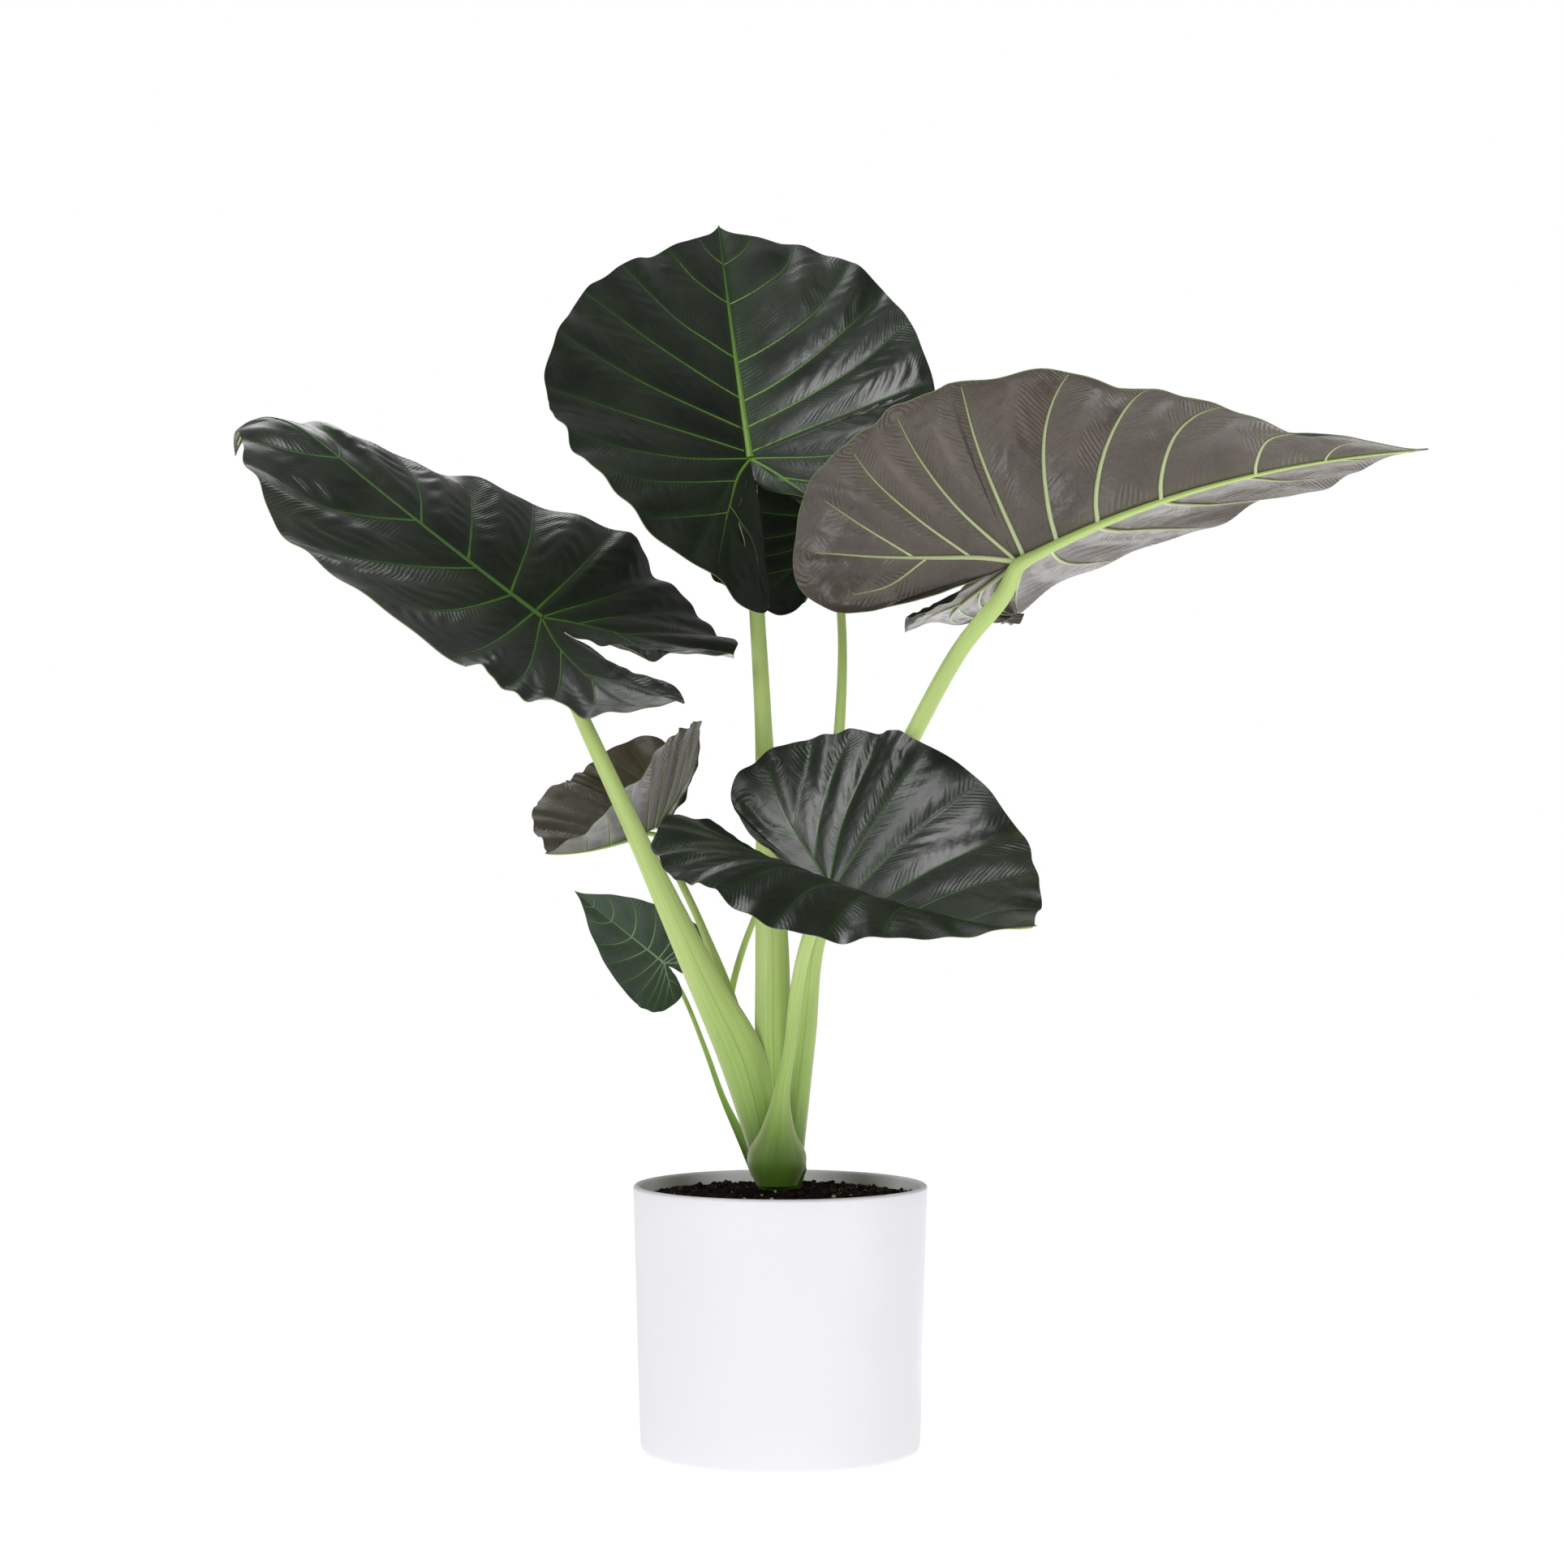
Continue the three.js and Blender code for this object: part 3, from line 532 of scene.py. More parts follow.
def blade_veins(name, blade, finishes):
    """The veins: thick raised ribs on the underside, and narrow flush lines on the upper side."""
    vertices, faces, kinds, fades = [], [], [], []
    offset = 0
    size = blade.size
    thin = BLADE_THICKNESS * max(size, 0.6) / 2
    leaf_veins = YOUNG_VEIN_SHARE if name == "young" else 1
    midrib_width = CROWN_MIDRIB_WIDTH if name == "crown" else MIDRIB_WIDTH
    for half in (0, 1):
        for number, (thickness, course) in enumerate(blade.lines[half]):
            is_midrib = number == 0
            if is_midrib and half == 1:
                continue
            at, normal = blade.sample(half, course)
            path = evenly(np.hstack([at, normal]), VEIN_STEP * max(size, 0.5))
            at, normal = path[:, :3], unit(path[:, 3:])
            forward = unit(np.gradient(at, axis=0))
            side = unit(np.cross(forward, normal))
            progress = np.linspace(0, 1, len(at))
            for upper in (True, False):
                if is_midrib and not upper:
                    continue
                taper = (1 - progress) ** (1.4 if is_midrib else 0.75) * 0.82 + 0.18
                if upper:
                    full_width = (midrib_width if is_midrib else UPPER_VEIN_WIDTH) * thickness
                    width = (full_width * taper + 0.2) * max(size, 0.5) ** 0.8
                    depth = width * 0.55 + 0.4 if is_midrib else 0.9 * (0.5 + 0.5 * taper)
                    centre = at + normal * (thin - 0.12 + (0.16 * width[:, None] if is_midrib else 0))
                else:
                    slimming = max(size, 0.35) ** (1.5 if size < 0.5 else 0.9)
                    width = UNDER_VEIN_WIDTH * leaf_veins * thickness * taper * slimming
                    depth = width * 0.8
                    centre = at - normal * (depth[:, None] * 0.45)
                ring, quads = tube(centre, side, normal, width, depth, VEIN_SIDES, offset)
                vertices.append(ring)
                faces += quads
                kinds += [0 if upper else 1] * len(quads)
                fades.append(np.repeat(progress, VEIN_SIDES))
                offset += len(ring)
    return piece(f"veins_{name}", np.concatenate(vertices), faces, finishes, kinds,
                 {"along_vein": np.concatenate(fades)})


def stalk(name, leaf, blade, finish):
    """The stalk, sheathing the stem low down, which runs on under the blade as its midrib."""
    _, _, up = blade_frame(leaf)
    joint = GROUND + np.array(leaf["joint"])
    under = joint - up * (0.45 * leaf["end"])
    course = [GROUND + np.array(p[:3]) for p in leaf["stalk"]] + [under]
    girth = [p[3:] for p in leaf["stalk"]] + [[leaf["end"], leaf["end"]]]
    length = np.linalg.norm(np.diff(np.array(course), axis=0), axis=1).sum()
    steps = int(length / 5)
    low = smooth_curve(course, np.linspace(0, 1, steps))
    low_girth = smooth_curve([[*g, 0] for g in girth], np.linspace(0, 1, steps))[:, :2]
    # Underside midrib, from a little beyond the joint to the tip.
    reach = np.linspace(0.05, 0.97, 60)
    at, normal = blade.sample(0, np.stack([reach, 0 * reach], 1))
    rib = leaf["end"] * (0.14 + 0.66 * (1 - reach) ** 2)
    rib_centre = at - normal * (rib * 0.42)[:, None]
    path = np.vstack([low[:-2], rib_centre])
    widths = np.concatenate([low_girth[:-2, 0], rib])
    depths = np.concatenate([low_girth[:-2, 1], rib * 0.9])
    bundle = evenly(np.column_stack([path, widths, depths]), 4)
    for _ in range(3):
        bundle[1:-1] = bundle[1:-1] * 0.5 + (bundle[2:] + bundle[:-2]) * 0.25
    path, widths, depths = bundle[:, :3], bundle[:, 3], bundle[:, 4]
    forward = unit(np.gradient(path, axis=0))
    side = unit(np.cross(forward, [0.0, -1.0, 0.0]))
    for i in range(1, len(side)):
        if side[i] @ side[i - 1] < 0:
            side[i] = -side[i]
        side[i] = unit(side[i] * 0.4 + side[i - 1] * 0.6)
        side[i] = unit(side[i] - forward[i] * (side[i] @ forward[i]))
    front = unit(np.cross(side, forward))
    angle = np.linspace(0, 2 * math.pi, STALK_SIDES, endpoint=False)
    height = path[:, 2] - GROUND[2]
    sheath = np.clip(1 - height / SHEATH_HEIGHT, 0, 1)
    hollow_side = -1 if leaf["stalk"][1][1] < FRONT_STALK else 1
    across = np.cos(angle)[None] * widths[:, None] / 2
    through = np.sin(angle)[None] * depths[:, None] / 2
    inner = np.maximum(0, np.sin(angle) * hollow_side)
    hollow = sheath[:, None] * (inner ** 1.2)[None] * depths[:, None] * SHEATH_HOLLOW
    wing = sheath[:, None] * (np.abs(np.cos(angle)) ** 8)[None] * depths[:, None] * SHEATH_WING
    through = through - hollow * hollow_side + wing * hollow_side
    ring = path[:, None] + side[:, None] * across[..., None] + front[:, None] * through[..., None]
    edge_fade = np.clip(1.4 - height / 200, 0, 1) * 0.85
    edge = (np.abs(np.cos(angle)) ** 8)[None] * edge_fade[:, None]
    around = np.repeat(angle[None], len(path), 0)
    length_along = np.cumsum(np.linalg.norm(np.diff(path, axis=0, prepend=path[:1]), axis=1))
    made = piece(
        f"petiole_{name}", ring.reshape(-1, 3), ring_faces(len(path), STALK_SIDES), [finish], None,
        {"along_stalk": np.repeat(length_along, STALK_SIDES) * MM,
         "around_stalk": around.ravel() / (2 * math.pi), "sheath_edge": edge.ravel()},
    )
    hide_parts(f"petiole_{name}")


# ---------------------------------------------------------------- finishes
# Lengths in the finishes are metres, and a noise's scale is about its grains to the metre.

RIPPLE_SPACING = 0.005
GROUND_Z = 0.222  # about the height of the potting mix's surface


def dress(tree, shader, **sources):
    """Feeds the shader's inputs from sockets or nodes, a node by its first output."""
    for name, source in sources.items():
        tree.links.new(getattr(source, "outputs", [source])[0], shader.inputs[name.replace("_", " ")])


def blade_finish(name, deep, light, vein_tint, roughness, ripple, sheen_patch):
    """Living leaf skin, waxy and close-veined: dark colour, glossy, finely rippled beside every vein."""
    made, tree, shader = finish_named(name, Roughness=roughness, IOR=1.45)
    place = add(tree, "TexCoord").outputs["Object"]
    away, reach, between = (add(tree, "Attribute", attribute_name=label).outputs["Fac"]
                            for label in ("vein_away", "vein_reach", "vein_gap"))
    cloud, speckle, drift, crumple = (
        add(tree, "TexNoise", {"Vector": place, "Scale": scale, "Detail": detail})
        for scale, detail in ((14.0, 4.0), (260.0, 3.0), (55.0, 2.0), (38.0, 3.0)))
    mixed = add(tree, "Math", {0: speckle, 1: 0.35, 2: cloud}, operation="MULTIPLY_ADD")
    tone = add(tree, "ValToRGB", {"Fac": mixed}, stops=[[0.45, deep], [0.85, light]])
    # Tissue within 6 mm of a vein is a little greener than the panel's middle.
    beside = add(tree, "MapRange", {"Value": away, "From Max": 0.006, "To Min": 0.5, "To Max": 0.0})
    greened = add(tree, "Mix", {"Factor": beside, "A": tone, "B": linear(vein_tint)},
                  data_type="RGBA").outputs["Result"]
    # Fine ripples leave each vein in a herringbone. Real ones are about 2 mm apart; these are 5 mm.
    slant = add(tree, "Math", {0: away, 1: -0.95, 2: reach}, operation="MULTIPLY_ADD")
    phase = add(tree, "Math", {0: slant, 1: 2 * math.pi / RIPPLE_SPACING}, operation="MULTIPLY")
    turns = add(tree, "Math", {0: drift, 1: 7.0, 2: phase}, operation="MULTIPLY_ADD")
    comb = add(tree, "Math", {0: turns}, operation="SINE")
    strength = add(tree, "MapRange", {"Value": cloud, "From Min": 0.42, "From Max": 0.62,
                                                "To Min": 0.1})
    # The two sets of ripples die away where they meet, halfway between two veins.
    meeting = add(tree, "MapRange", {"Value": between, "From Min": 0.003, "From Max": 0.016},
                  interpolation_type="SMOOTHSTEP")
    patchy = add(tree, "Math", {0: meeting, 1: strength}, operation="MULTIPLY")
    combed = add(tree, "Math", {0: comb, 1: patchy}, operation="MULTIPLY")
    height = add(tree, "Math", {0: crumple, 1: 5.0, 2: combed}, operation="MULTIPLY_ADD")
    bump = add(tree, "Bump", {"Height": height, "Strength": 1.0, "Distance": ripple})
    grain = add(tree, "Bump", {"Height": speckle, "Strength": 0.35, "Distance": 0.0004,
                                         "Normal": bump})
    shine = add(tree, "MapRange", {"Value": cloud, "From Min": 0.3, "From Max": 0.7,
                                             "To Min": roughness - sheen_patch,
                                             "To Max": roughness + sheen_patch})
    dress(tree, shader, Base_Color=greened, Roughness=shine, Normal=grain)
    return made


def vein_finish(name, near, far, roughness):
    """Fleshy vein tissue: bright and juicy by the midrib, sinking into the blade's colour at the margin."""
    made, tree, shader = finish_named(name, Roughness=roughness, IOR=1.42)
    place = add(tree, "TexCoord").outputs["Object"]
    fade = add(tree, "Attribute", attribute_name="along_vein").outputs["Fac"]
    mottle = add(tree, "TexNoise", {"Vector": place, "Scale": 90.0, "Detail": 3.0})
    blend = add(tree, "Math", {0: mottle, 1: 0.25, 2: fade}, operation="MULTIPLY_ADD")
    tone = add(tree, "ValToRGB", {"Fac": blend}, stops=[[0.12, near], [1.0, far]])
    bump = add(tree, "Bump", {"Height": mottle, "Strength": 0.4, "Distance": 0.0004})
    dress(tree, shader, Base_Color=tone, Normal=bump)
    return made


def stalk_finish(name, pale, mid, dark, edge):
    """Fleshy stalk skin, smooth and satin, with fine lengthwise fibres and pale papery sheath edges."""
    made, tree, shader = finish_named(name, Roughness=0.42, IOR=1.42, Subsurface_Weight=0.12,
                                      Subsurface_Radius=(0.004, 0.006, 0.0015), Subsurface_Scale=1.0)
    along, around, edge_share = (add(tree, "Attribute", attribute_name=label).outputs["Fac"]
                                 for label in ("along_stalk", "around_stalk", "sheath_edge"))
    place = add(tree, "TexCoord").outputs["Object"]
    up = add(tree, "SeparateXYZ", {"Vector": place}).outputs["Z"]
    # Fibres run up the stalk 1.5 to 4 mm apart, and shallow darker grooves 1 to 3 mm apart.
    fibre_place, groove_place = (add(tree, "CombineXYZ", {
        "X": add(tree, "Math", {0: around, 1: to_girth}, operation="MULTIPLY"),
        "Y": add(tree, "Math", {0: along, 1: to_metre}, operation="MULTIPLY")})
        for to_girth, to_metre in ((26.0, 9.0), (34.0, 2.2)))
    fibres = add(tree, "TexNoise", {"Vector": fibre_place, "Scale": 1.0, "Detail": 5.0,
                                              "Roughness": 0.65})
    broad = add(tree, "TexNoise", {"Vector": place, "Scale": 16.0, "Detail": 3.0})
    height = add(tree, "MapRange", {"Value": up, "From Min": GROUND_Z, "From Max": 0.60})
    streak = add(tree, "Math", {0: fibres, 1: 0.62, 2: height}, operation="MULTIPLY_ADD")
    cloudy = add(tree, "Math", {0: broad, 1: 0.3, 2: streak}, operation="MULTIPLY_ADD")
    tone = add(tree, "ValToRGB", {"Fac": cloudy}, stops=[[0.28, dark], [0.60, mid], [1.0, pale]])
    # Deeper green where the sheaths close round the stem, over the lowest 90 mm.
    low = add(tree, "MapRange", {"Value": up, "From Min": GROUND_Z, "From Max": 0.312,
                                           "To Min": 0.9, "To Max": 0.0}, interpolation_type="SMOOTHSTEP")
    furrows = add(tree, "TexNoise", {"Vector": groove_place, "Scale": 1.0, "Detail": 2.0})
    groove = add(tree, "MapRange", {"Value": furrows, "From Min": 0.56, "From Max": 0.70,
                                              "To Max": 0.42})
    colour = tone.outputs["Color"]
    for share, tint in ((low, "#466812"), (groove, dark), (edge_share, edge)):
        colour = add(tree, "Mix", {"Factor": share, "A": colour, "B": linear(tint)},
                     data_type="RGBA").outputs["Result"]
    bump = add(tree, "Bump", {"Height": fibres, "Strength": 0.5, "Distance": 0.0008})
    dress(tree, shader, Base_Color=colour, Normal=bump)
    return made


def planter_finish():
    """Injection-moulded white polypropylene: near-white, faintly cool, matte with a fine eggshell grain."""
    made, tree, shader = finish_named("planter polypropylene, moulded matte white", Roughness=0.5, IOR=1.49)
    place = add(tree, "TexCoord").outputs["Object"]
    broad = add(tree, "TexNoise", {"Vector": place, "Scale": 7.0, "Detail": 2.0})
    grain = add(tree, "TexNoise", {"Vector": place, "Scale": 900.0, "Detail": 2.0})
    tone = add(tree, "ValToRGB", {"Fac": broad}, stops=[[0.3, "#f1f1f6"], [0.7, "#f5f5f8"]])
    bump = add(tree, "Bump", {"Height": grain, "Strength": 0.25, "Distance": 0.0003})
    shine = add(tree, "MapRange", {"Value": broad, "To Min": 0.46, "To Max": 0.56})
    dress(tree, shader, Base_Color=tone, Roughness=shine, Normal=bump)
    return made


def soil_finish():
    """Peat potting mix, damp and crumbly: near-black brown, quite matte, with paler fibres and grit."""
    made, tree, shader = finish_named("peat potting mix, damp crumbs", Roughness=0.92, IOR=1.4,
                                      Specular_IOR_Level=0.2)
    place = add(tree, "TexCoord").outputs["Object"]
    crumbs = add(tree, "TexNoise", {"Vector": place, "Scale": 330.0, "Detail": 5.0,
                                              "Roughness": 0.7})
    grit = add(tree, "TexVoronoi", {"Vector": place, "Scale": 420.0})
    tone = add(tree, "ValToRGB", {"Fac": crumbs},
               stops=[[0.36, "#0b0705"], [0.56, "#1a110d"], [0.72, "#33241a"]])
    rough_top = add(tree, "Math", {0: grit, 1: 0.6, 2: crumbs}, operation="MULTIPLY_ADD")
    bump = add(tree, "Bump", {"Height": rough_top, "Strength": 0.9, "Distance": 0.002})
    dress(tree, shader, Base_Color=tone, Normal=bump)
    return made


def crumb_finish():
    """Loose bark, peat crumbs and a few pale grains of grit: each crumb has its own tone."""
    made, tree, shader = finish_named("bark and peat crumbs with pale grit", Roughness=0.85, IOR=1.4,
                                      Specular_IOR_Level=0.2)
    place = add(tree, "TexCoord").outputs["Object"]
    tone_of = add(tree, "Attribute", attribute_name="crumb_tone").outputs["Fac"]
    fleck = add(tree, "TexNoise", {"Vector": place, "Scale": 700.0, "Detail": 3.0})
    blend = add(tree, "Math", {0: fleck, 1: 0.2, 2: tone_of}, operation="MULTIPLY_ADD")
    tone = add(tree, "ValToRGB", {"Fac": blend},
               stops=[[0.1, "#080504"], [0.7, "#1c130e"], [0.98, "#4a3829"], [1.0, "#b8a283"]])
    bump = add(tree, "Bump", {"Height": fleck, "Strength": 0.8, "Distance": 0.0008})
    dress(tree, shader, Base_Color=tone, Normal=bump)
    return made


# ---------------------------------------------------------------- planter and soil

POT_WALL = 6
RIM_RADIUS, FOOT_RADIUS = 125, 118.5
FOOT_ROUND = 9
POT_FLOOR = 8
UNDERSIDE, RING_INSIDE = 1.6, 0.4  # the underside's middle lies a little above the ring it stands on
LATHE_SIDES = 160
SOIL_RINGS, SOIL_SIDES = 56, 180
CRUMBS, PALE_CRUMBS = 1500, 0.035
STEM_RINGS, STEM_SIDES = 40, 32
STEM_SWELL = [[0, 0.48], [0.13, 0.64], [0.43, 0.76], [0.69, 0.99], [0.86, 0.9], [1, 0.4]]


def lathe(profile, sides):
    """Vertices and faces of a profile of radius and height turned about the vertical, closed at its ends."""
    angle = np.linspace(0, 2 * math.pi, sides, endpoint=False)
    profile = np.array(profile, float)
    ring = np.stack([profile[:, :1] * np.cos(angle), profile[:, :1] * np.sin(angle),
                     np.repeat(profile[:, 1:], sides, 1)], -1)
    return ring.reshape(-1, 3), ring_faces(len(profile), sides)


def round_corner(centre, radius, start, end, steps):
    """Profile points round a corner, from one angle to another in degrees."""
    angle = np.radians(np.linspace(start, end, steps))
    return np.stack([centre[0] + radius * np.cos(angle), centre[1] + radius * np.sin(angle)], 1)


def planter():
    """The planter: a slightly tapered cup with a rounded foot and a rolled lip."""
    height = POT_HIGH[2]
    rim = POT_HIGH[0]
    foot = rim * FOOT_RADIUS / RIM_RADIUS
    lip = POT_WALL / 2
    inner_shares = (0.97, 0.93, 0.6, 0.3, 0.09)
    profile = np.vstack([
        [[0.5, UNDERSIDE], [foot - 26, UNDERSIDE], [foot - 22, RING_INSIDE]],
        round_corner((foot - FOOT_ROUND, FOOT_ROUND), FOOT_ROUND, -90, -3, 12),
        [[foot + (rim - foot) * share, height * share] for share in (0.15, 0.35, 0.55, 0.75, 0.93)],
        round_corner((rim - lip, height - lip), lip, 0, 180, 14),
        [[rim - POT_WALL - (rim - foot) * (1 - share), height * share] for share in inner_shares],
        [[foot - POT_WALL - 6, POT_FLOOR], [0.5, POT_FLOOR]],
    ])
    vertices, faces = lathe(profile, LATHE_SIDES)
    made = piece("planter_cup", vertices, faces, [planter_finish()], sharp=40)
    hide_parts("planter")


def soil_height(x, y):
    """Height of the potting mix's crumbly surface."""
    radius = np.hypot(x, y) / SOIL_HIGH[0]
    dome = SOIL_HIGH[2] - 1.5 - 6 * radius ** 2
    return dome + (0.9 * np.sin(x / 7.3 + 1.3 * np.sin(y / 9.1)) * np.cos(y / 6.1 + 0.8 * np.sin(x / 5.3))
                   + 0.5 * np.sin(x / 2.9 + y / 3.7) * np.sin(y / 2.3 - x / 4.1))


def potting_mix():
    """The potting mix with its uneven top, and loose crumbs lying on it."""
    random = np.random.default_rng(7)
    angle = np.linspace(0, 2 * math.pi, SOIL_SIDES, endpoint=False)
    radius = np.linspace(0.4, SOIL_HIGH[0] - 0.6, SOIL_RINGS)[:, None]
    x, y = radius * np.cos(angle), radius * np.sin(angle)
    top = np.stack([x, y, soil_height(x, y) + random.uniform(-0.5, 0.5, x.shape)], -1)
    low = np.stack([top[-1, :, 0] * 0.96, top[-1, :, 1] * 0.96, np.full(SOIL_SIDES, SOIL_LOW[2] + 1)], -1)
    made = piece("potting_mix", np.concatenate([top, low[None]]).reshape(-1, 3),
                 ring_faces(SOIL_RINGS + 1, SOIL_SIDES), [soil_finish()], sharp=180)
    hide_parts("potting_soil")

    golden = (1 + 5 ** 0.5) / 2
    corners = np.array([[0, a, b * golden] for a in (-1, 1) for b in (-1, 1)])
    corners = unit(np.concatenate([np.roll(corners, turn, 1) for turn in range(3)]).astype(float))
    edge = np.linalg.norm(corners[:, None] - corners[None], axis=2)
    near = (edge > 0.1) & (edge < 1.1)
    facets = [(i, j, k) for i in range(12) for j in range(i + 1, 12) for k in range(j + 1, 12)
              if near[i, j] and near[j, k] and near[i, k]]
    facets = [f if np.linalg.det(corners[list(f)]) > 0 else f[::-1] for f in facets]
    vertices, faces, tones = [], [], []
    for number in range(CRUMBS):
        reach = (SOIL_HIGH[0] - 4) * math.sqrt(random.uniform(0.02, 1))
        turn = random.uniform(0, 2 * math.pi)
        x, y = reach * math.cos(turn), reach * math.sin(turn)
        size = random.uniform(0.7, 2.2) * random.uniform(0.7, 1.3)
        shape = corners * size * random.uniform(0.55, 1.35, (12, 1)) * random.uniform(0.6, 1.3, 3)
        vertices.append(shape + [x, y, soil_height(np.array(x), np.array(y)) + size * 0.25])
        faces += [[12 * number + corner for corner in f] for f in facets]
        pale = random.uniform(0, 1) < PALE_CRUMBS
        tones += [1.0 if pale else random.uniform(0.0, 0.8)] * 12
    crumbs = piece("soil_crumbs", np.concatenate(vertices), faces, [crumb_finish()], None,
                   {"crumb_tone": tones}, sharp=35)


def stem(finish):
    """The short swollen stem that the stalks sheathe, ringed where old sheaths came away."""
    low, high = (np.array(corner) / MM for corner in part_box("stem_base"))
    centre = (low + high) / 2
    wide = (high - low)[:2]
    share = np.linspace(0, 1, STEM_RINGS)
    swell = np.interp(share, *zip(*STEM_SWELL)) + 0.012 * np.sin(share * 60)
    path = np.stack([np.full(STEM_RINGS, centre[0]), np.full(STEM_RINGS, centre[1]),
                     low[2] + (high[2] - low[2]) * share], 1)
    side = np.tile([1.0, 0, 0], (STEM_RINGS, 1))
    front = np.tile([0, 1.0, 0], (STEM_RINGS, 1))
    vertices, faces = tube(path, side, front, wide[0] * swell, wide[1] * swell, STEM_SIDES)
    angle = np.linspace(0, 1, STEM_SIDES, endpoint=False)
    made = piece("stem_base", vertices, faces, [finish], None,
                 {"along_stalk": np.repeat(share * 0.06, STEM_SIDES),
                  "around_stalk": np.tile(angle, STEM_RINGS),
                  "sheath_edge": np.zeros(STEM_RINGS * STEM_SIDES)})
    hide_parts("stem_base")


# ---------------------------------------------------------------- building the plant

planter()
potting_mix()

upper = blade_finish("leaf skin, dark glossy upper side", "#131a12", "#242d20", "#233d1b", 0.34, 0.0001, 0.07)
under = blade_finish("leaf skin, bronze-grey underside", "#463e38", "#5e554d", "#5e5c42", 0.30, 0.00034, 0.08)
young_upper = blade_finish("young leaf skin, olive bronze", "#4f4a3b", "#6e6753", "#5d6638", 0.42,
                           0.0002, 0.06)
young_vein = vein_finish("young leaf's veins, dull green", "#86965a", "#6c7450", 0.45)
small_vein = vein_finish("small leaf's veins, grey green", "#8ba184", "#5f7459", 0.45)
young_under = blade_finish("young leaf skin, bronze-grey underside", "#38322d", "#4f4841", "#5d6638", 0.42,
                           0.0002, 0.06)
small_upper = blade_finish("small leaf skin, grey-green", "#26332a", "#3c4a3f", "#3f5c38", 0.4, 0.0002, 0.06)
margin = vein_finish("leaf margin, thin and pale", "#6d7a50", "#6d7a50", 0.5)
crown_vein = vein_finish("top leaf's upper veins, fresh green", "#6a9138", "#2a4520", 0.42)
upper_vein = vein_finish("upper veins, dark green", "#476a2b", "#223a1c", 0.42)
under_vein = vein_finish("underside veins, pale yellow green", "#bdc898", "#99a078", 0.42)
skin = stalk_finish("fleshy stalk skin, fibrous light green", "#bfd683", "#9cc05c", "#5f8a2c", "#cfd3a6")
stem_skin = stalk_finish("stem skin, deep green", "#79a343", "#5c8527", "#3f5c10", "#5c8527")

stem(stem_skin)
SMALL_LEAF, SMALL_SPACING, SPACING = 150, 2.2, 3.6
for name, leaf in LEAVES.items():
    small = leaf["length"] < SMALL_LEAF
    blade = Blade(name, leaf, SMALL_SPACING if small else SPACING)
    if name == "young":
        faces_of_blade = [young_upper, young_under, margin]
    elif small:
        faces_of_blade = [small_upper, small_upper, margin]
    else:
        faces_of_blade = [upper, under, margin]
    shell = blade_shell(name, blade, faces_of_blade)
    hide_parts(f"blade_{name}")
    if name == "young":
        vein_finishes = [young_vein, young_vein]
    elif name == "crown":
        vein_finishes = [crown_vein, under_vein]
    else:
        vein_finishes = [small_vein if small else upper_vein, under_vein]
    ribs = blade_veins(name, blade, vein_finishes)
    stalk(name, leaf, blade, skin)


# ---------------------------------------------------------------- studio

FLOOR_RADIUS, FLOOR_SIDES = 9, 96


def floor():
    """A plain pale floor."""
    made, _, _ = finish_named("studio floor, matte white", Base_Color=linear("#a0a0a2"), Roughness=0.9,
                              Specular_IOR_Level=0.1, Emission_Color=(1, 1, 1, 1), Emission_Strength=0.97)
    mesh = bpy.data.meshes.new("floor")
    angle = np.linspace(0, 2 * math.pi, FLOOR_SIDES, endpoint=False)
    edge = np.stack([FLOOR_RADIUS * np.cos(angle), FLOOR_RADIUS * np.sin(angle), 0 * angle], 1)
    mesh.from_pydata(edge.tolist(), [], [list(range(FLOOR_SIDES))])
    mesh.materials.append(made)
    made = bpy.data.objects.new("floor", mesh)
    bpy.context.scene.collection.objects.link(made)


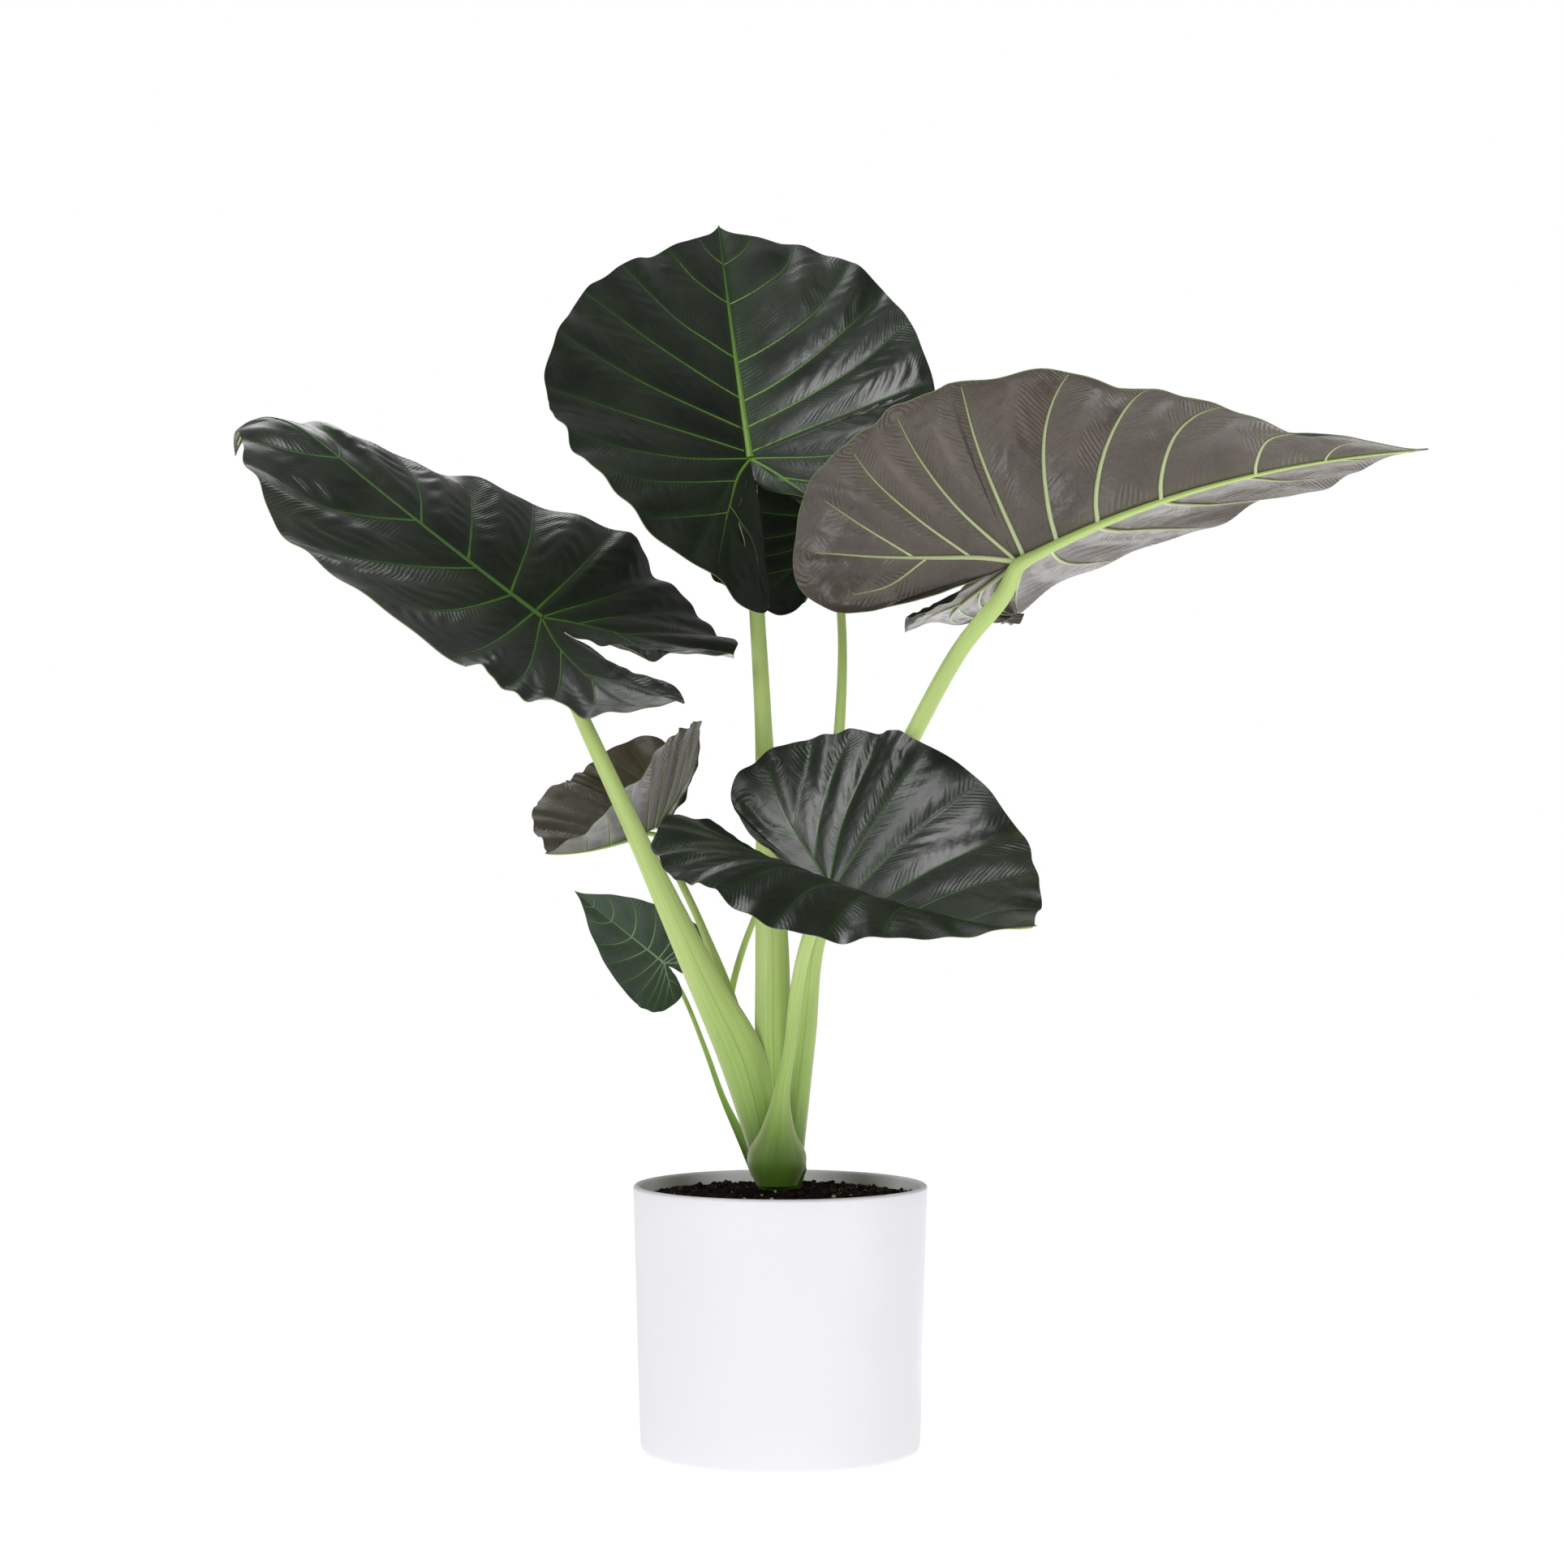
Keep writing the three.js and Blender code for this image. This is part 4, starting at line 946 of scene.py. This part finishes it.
def softbox(name, place, target, size, watts):
    """A square soft light aimed at a point, itself unseen."""
    light = bpy.data.lights.new(name, "AREA")
    light.size = size
    light.energy = watts
    made = bpy.data.objects.new(name, light)
    made.location = place
    made.rotation_euler = (Vector(target) - Vector(place)).to_track_quat("-Z", "Y").to_euler()
    made.visible_camera = False
    bpy.context.scene.collection.objects.link(made)


def studio_air():
    """Bright white surroundings to look at, which light the plant more dimly from all sides."""
    world = bpy.data.worlds.new("studio")
    bpy.context.scene.world = world
    world.use_nodes = True
    tree = world.node_tree
    seen = add(tree, "LightPath").outputs["Is Camera Ray"]
    direction = add(tree, "TexCoord").outputs["Generated"]
    back = add(tree, "SeparateXYZ", {"Vector": direction}).outputs["Y"]
    # Dim in front, where the studio is dark, and brighter behind, where its wall is lit.
    wall = add(tree, "MapRange", {"Value": back, "From Min": 0.1, "From Max": 0.8,
                                            "To Min": 0.15, "To Max": 0.24}, interpolation_type="SMOOTHSTEP")
    level = add(tree, "Mix", {"Factor": seen, "A": wall, "B": 1.0}, data_type="FLOAT")
    tree.nodes["Background"].inputs["Color"].default_value = (1, 1, 1, 1)
    tree.links.new(level.outputs["Result"], tree.nodes["Background"].inputs["Strength"])


floor()
studio_air()
softbox("left softbox", (-2.3, -2.7, 1.5), (0, 0, 0.5), 1.3, 37)
softbox("right softbox", (2.6, -2.4, 1.3), (0, 0, 0.5), 1.3, 20)
softbox("overhead softbox", (-0.5, -0.35, 1.95), (0.1, 0, 0.6), 0.5, 9)
softbox("back softbox", (-0.7, 2.4, 2.7), (0, 0, 0.7), 1.2, 14)
softbox("low front softbox", (0.66, -0.5, 0.04), (0.15, -0.15, 0.85), 0.3, 1.2)
softbox("low middle softbox", (0.15, 0.32, 0.03), (0.2, 0, 0.9), 0.36, 0.9)
softbox("low back softbox", (0.15, 1.75, 0.03), (0.15, 1.7, 1.0), 1.6, 10)

lens = bpy.data.cameras.new("camera")
lens.lens = 67
lens.sensor_width = 36
camera = bpy.data.objects.new("camera", lens)
camera.location = (0.001, -2.490, 0.4868)
camera.rotation_euler = (math.radians(91.82), 0, 0)
bpy.context.scene.collection.objects.link(camera)
bpy.context.scene.camera = camera
bpy.context.scene.view_settings.view_transform = "Standard"
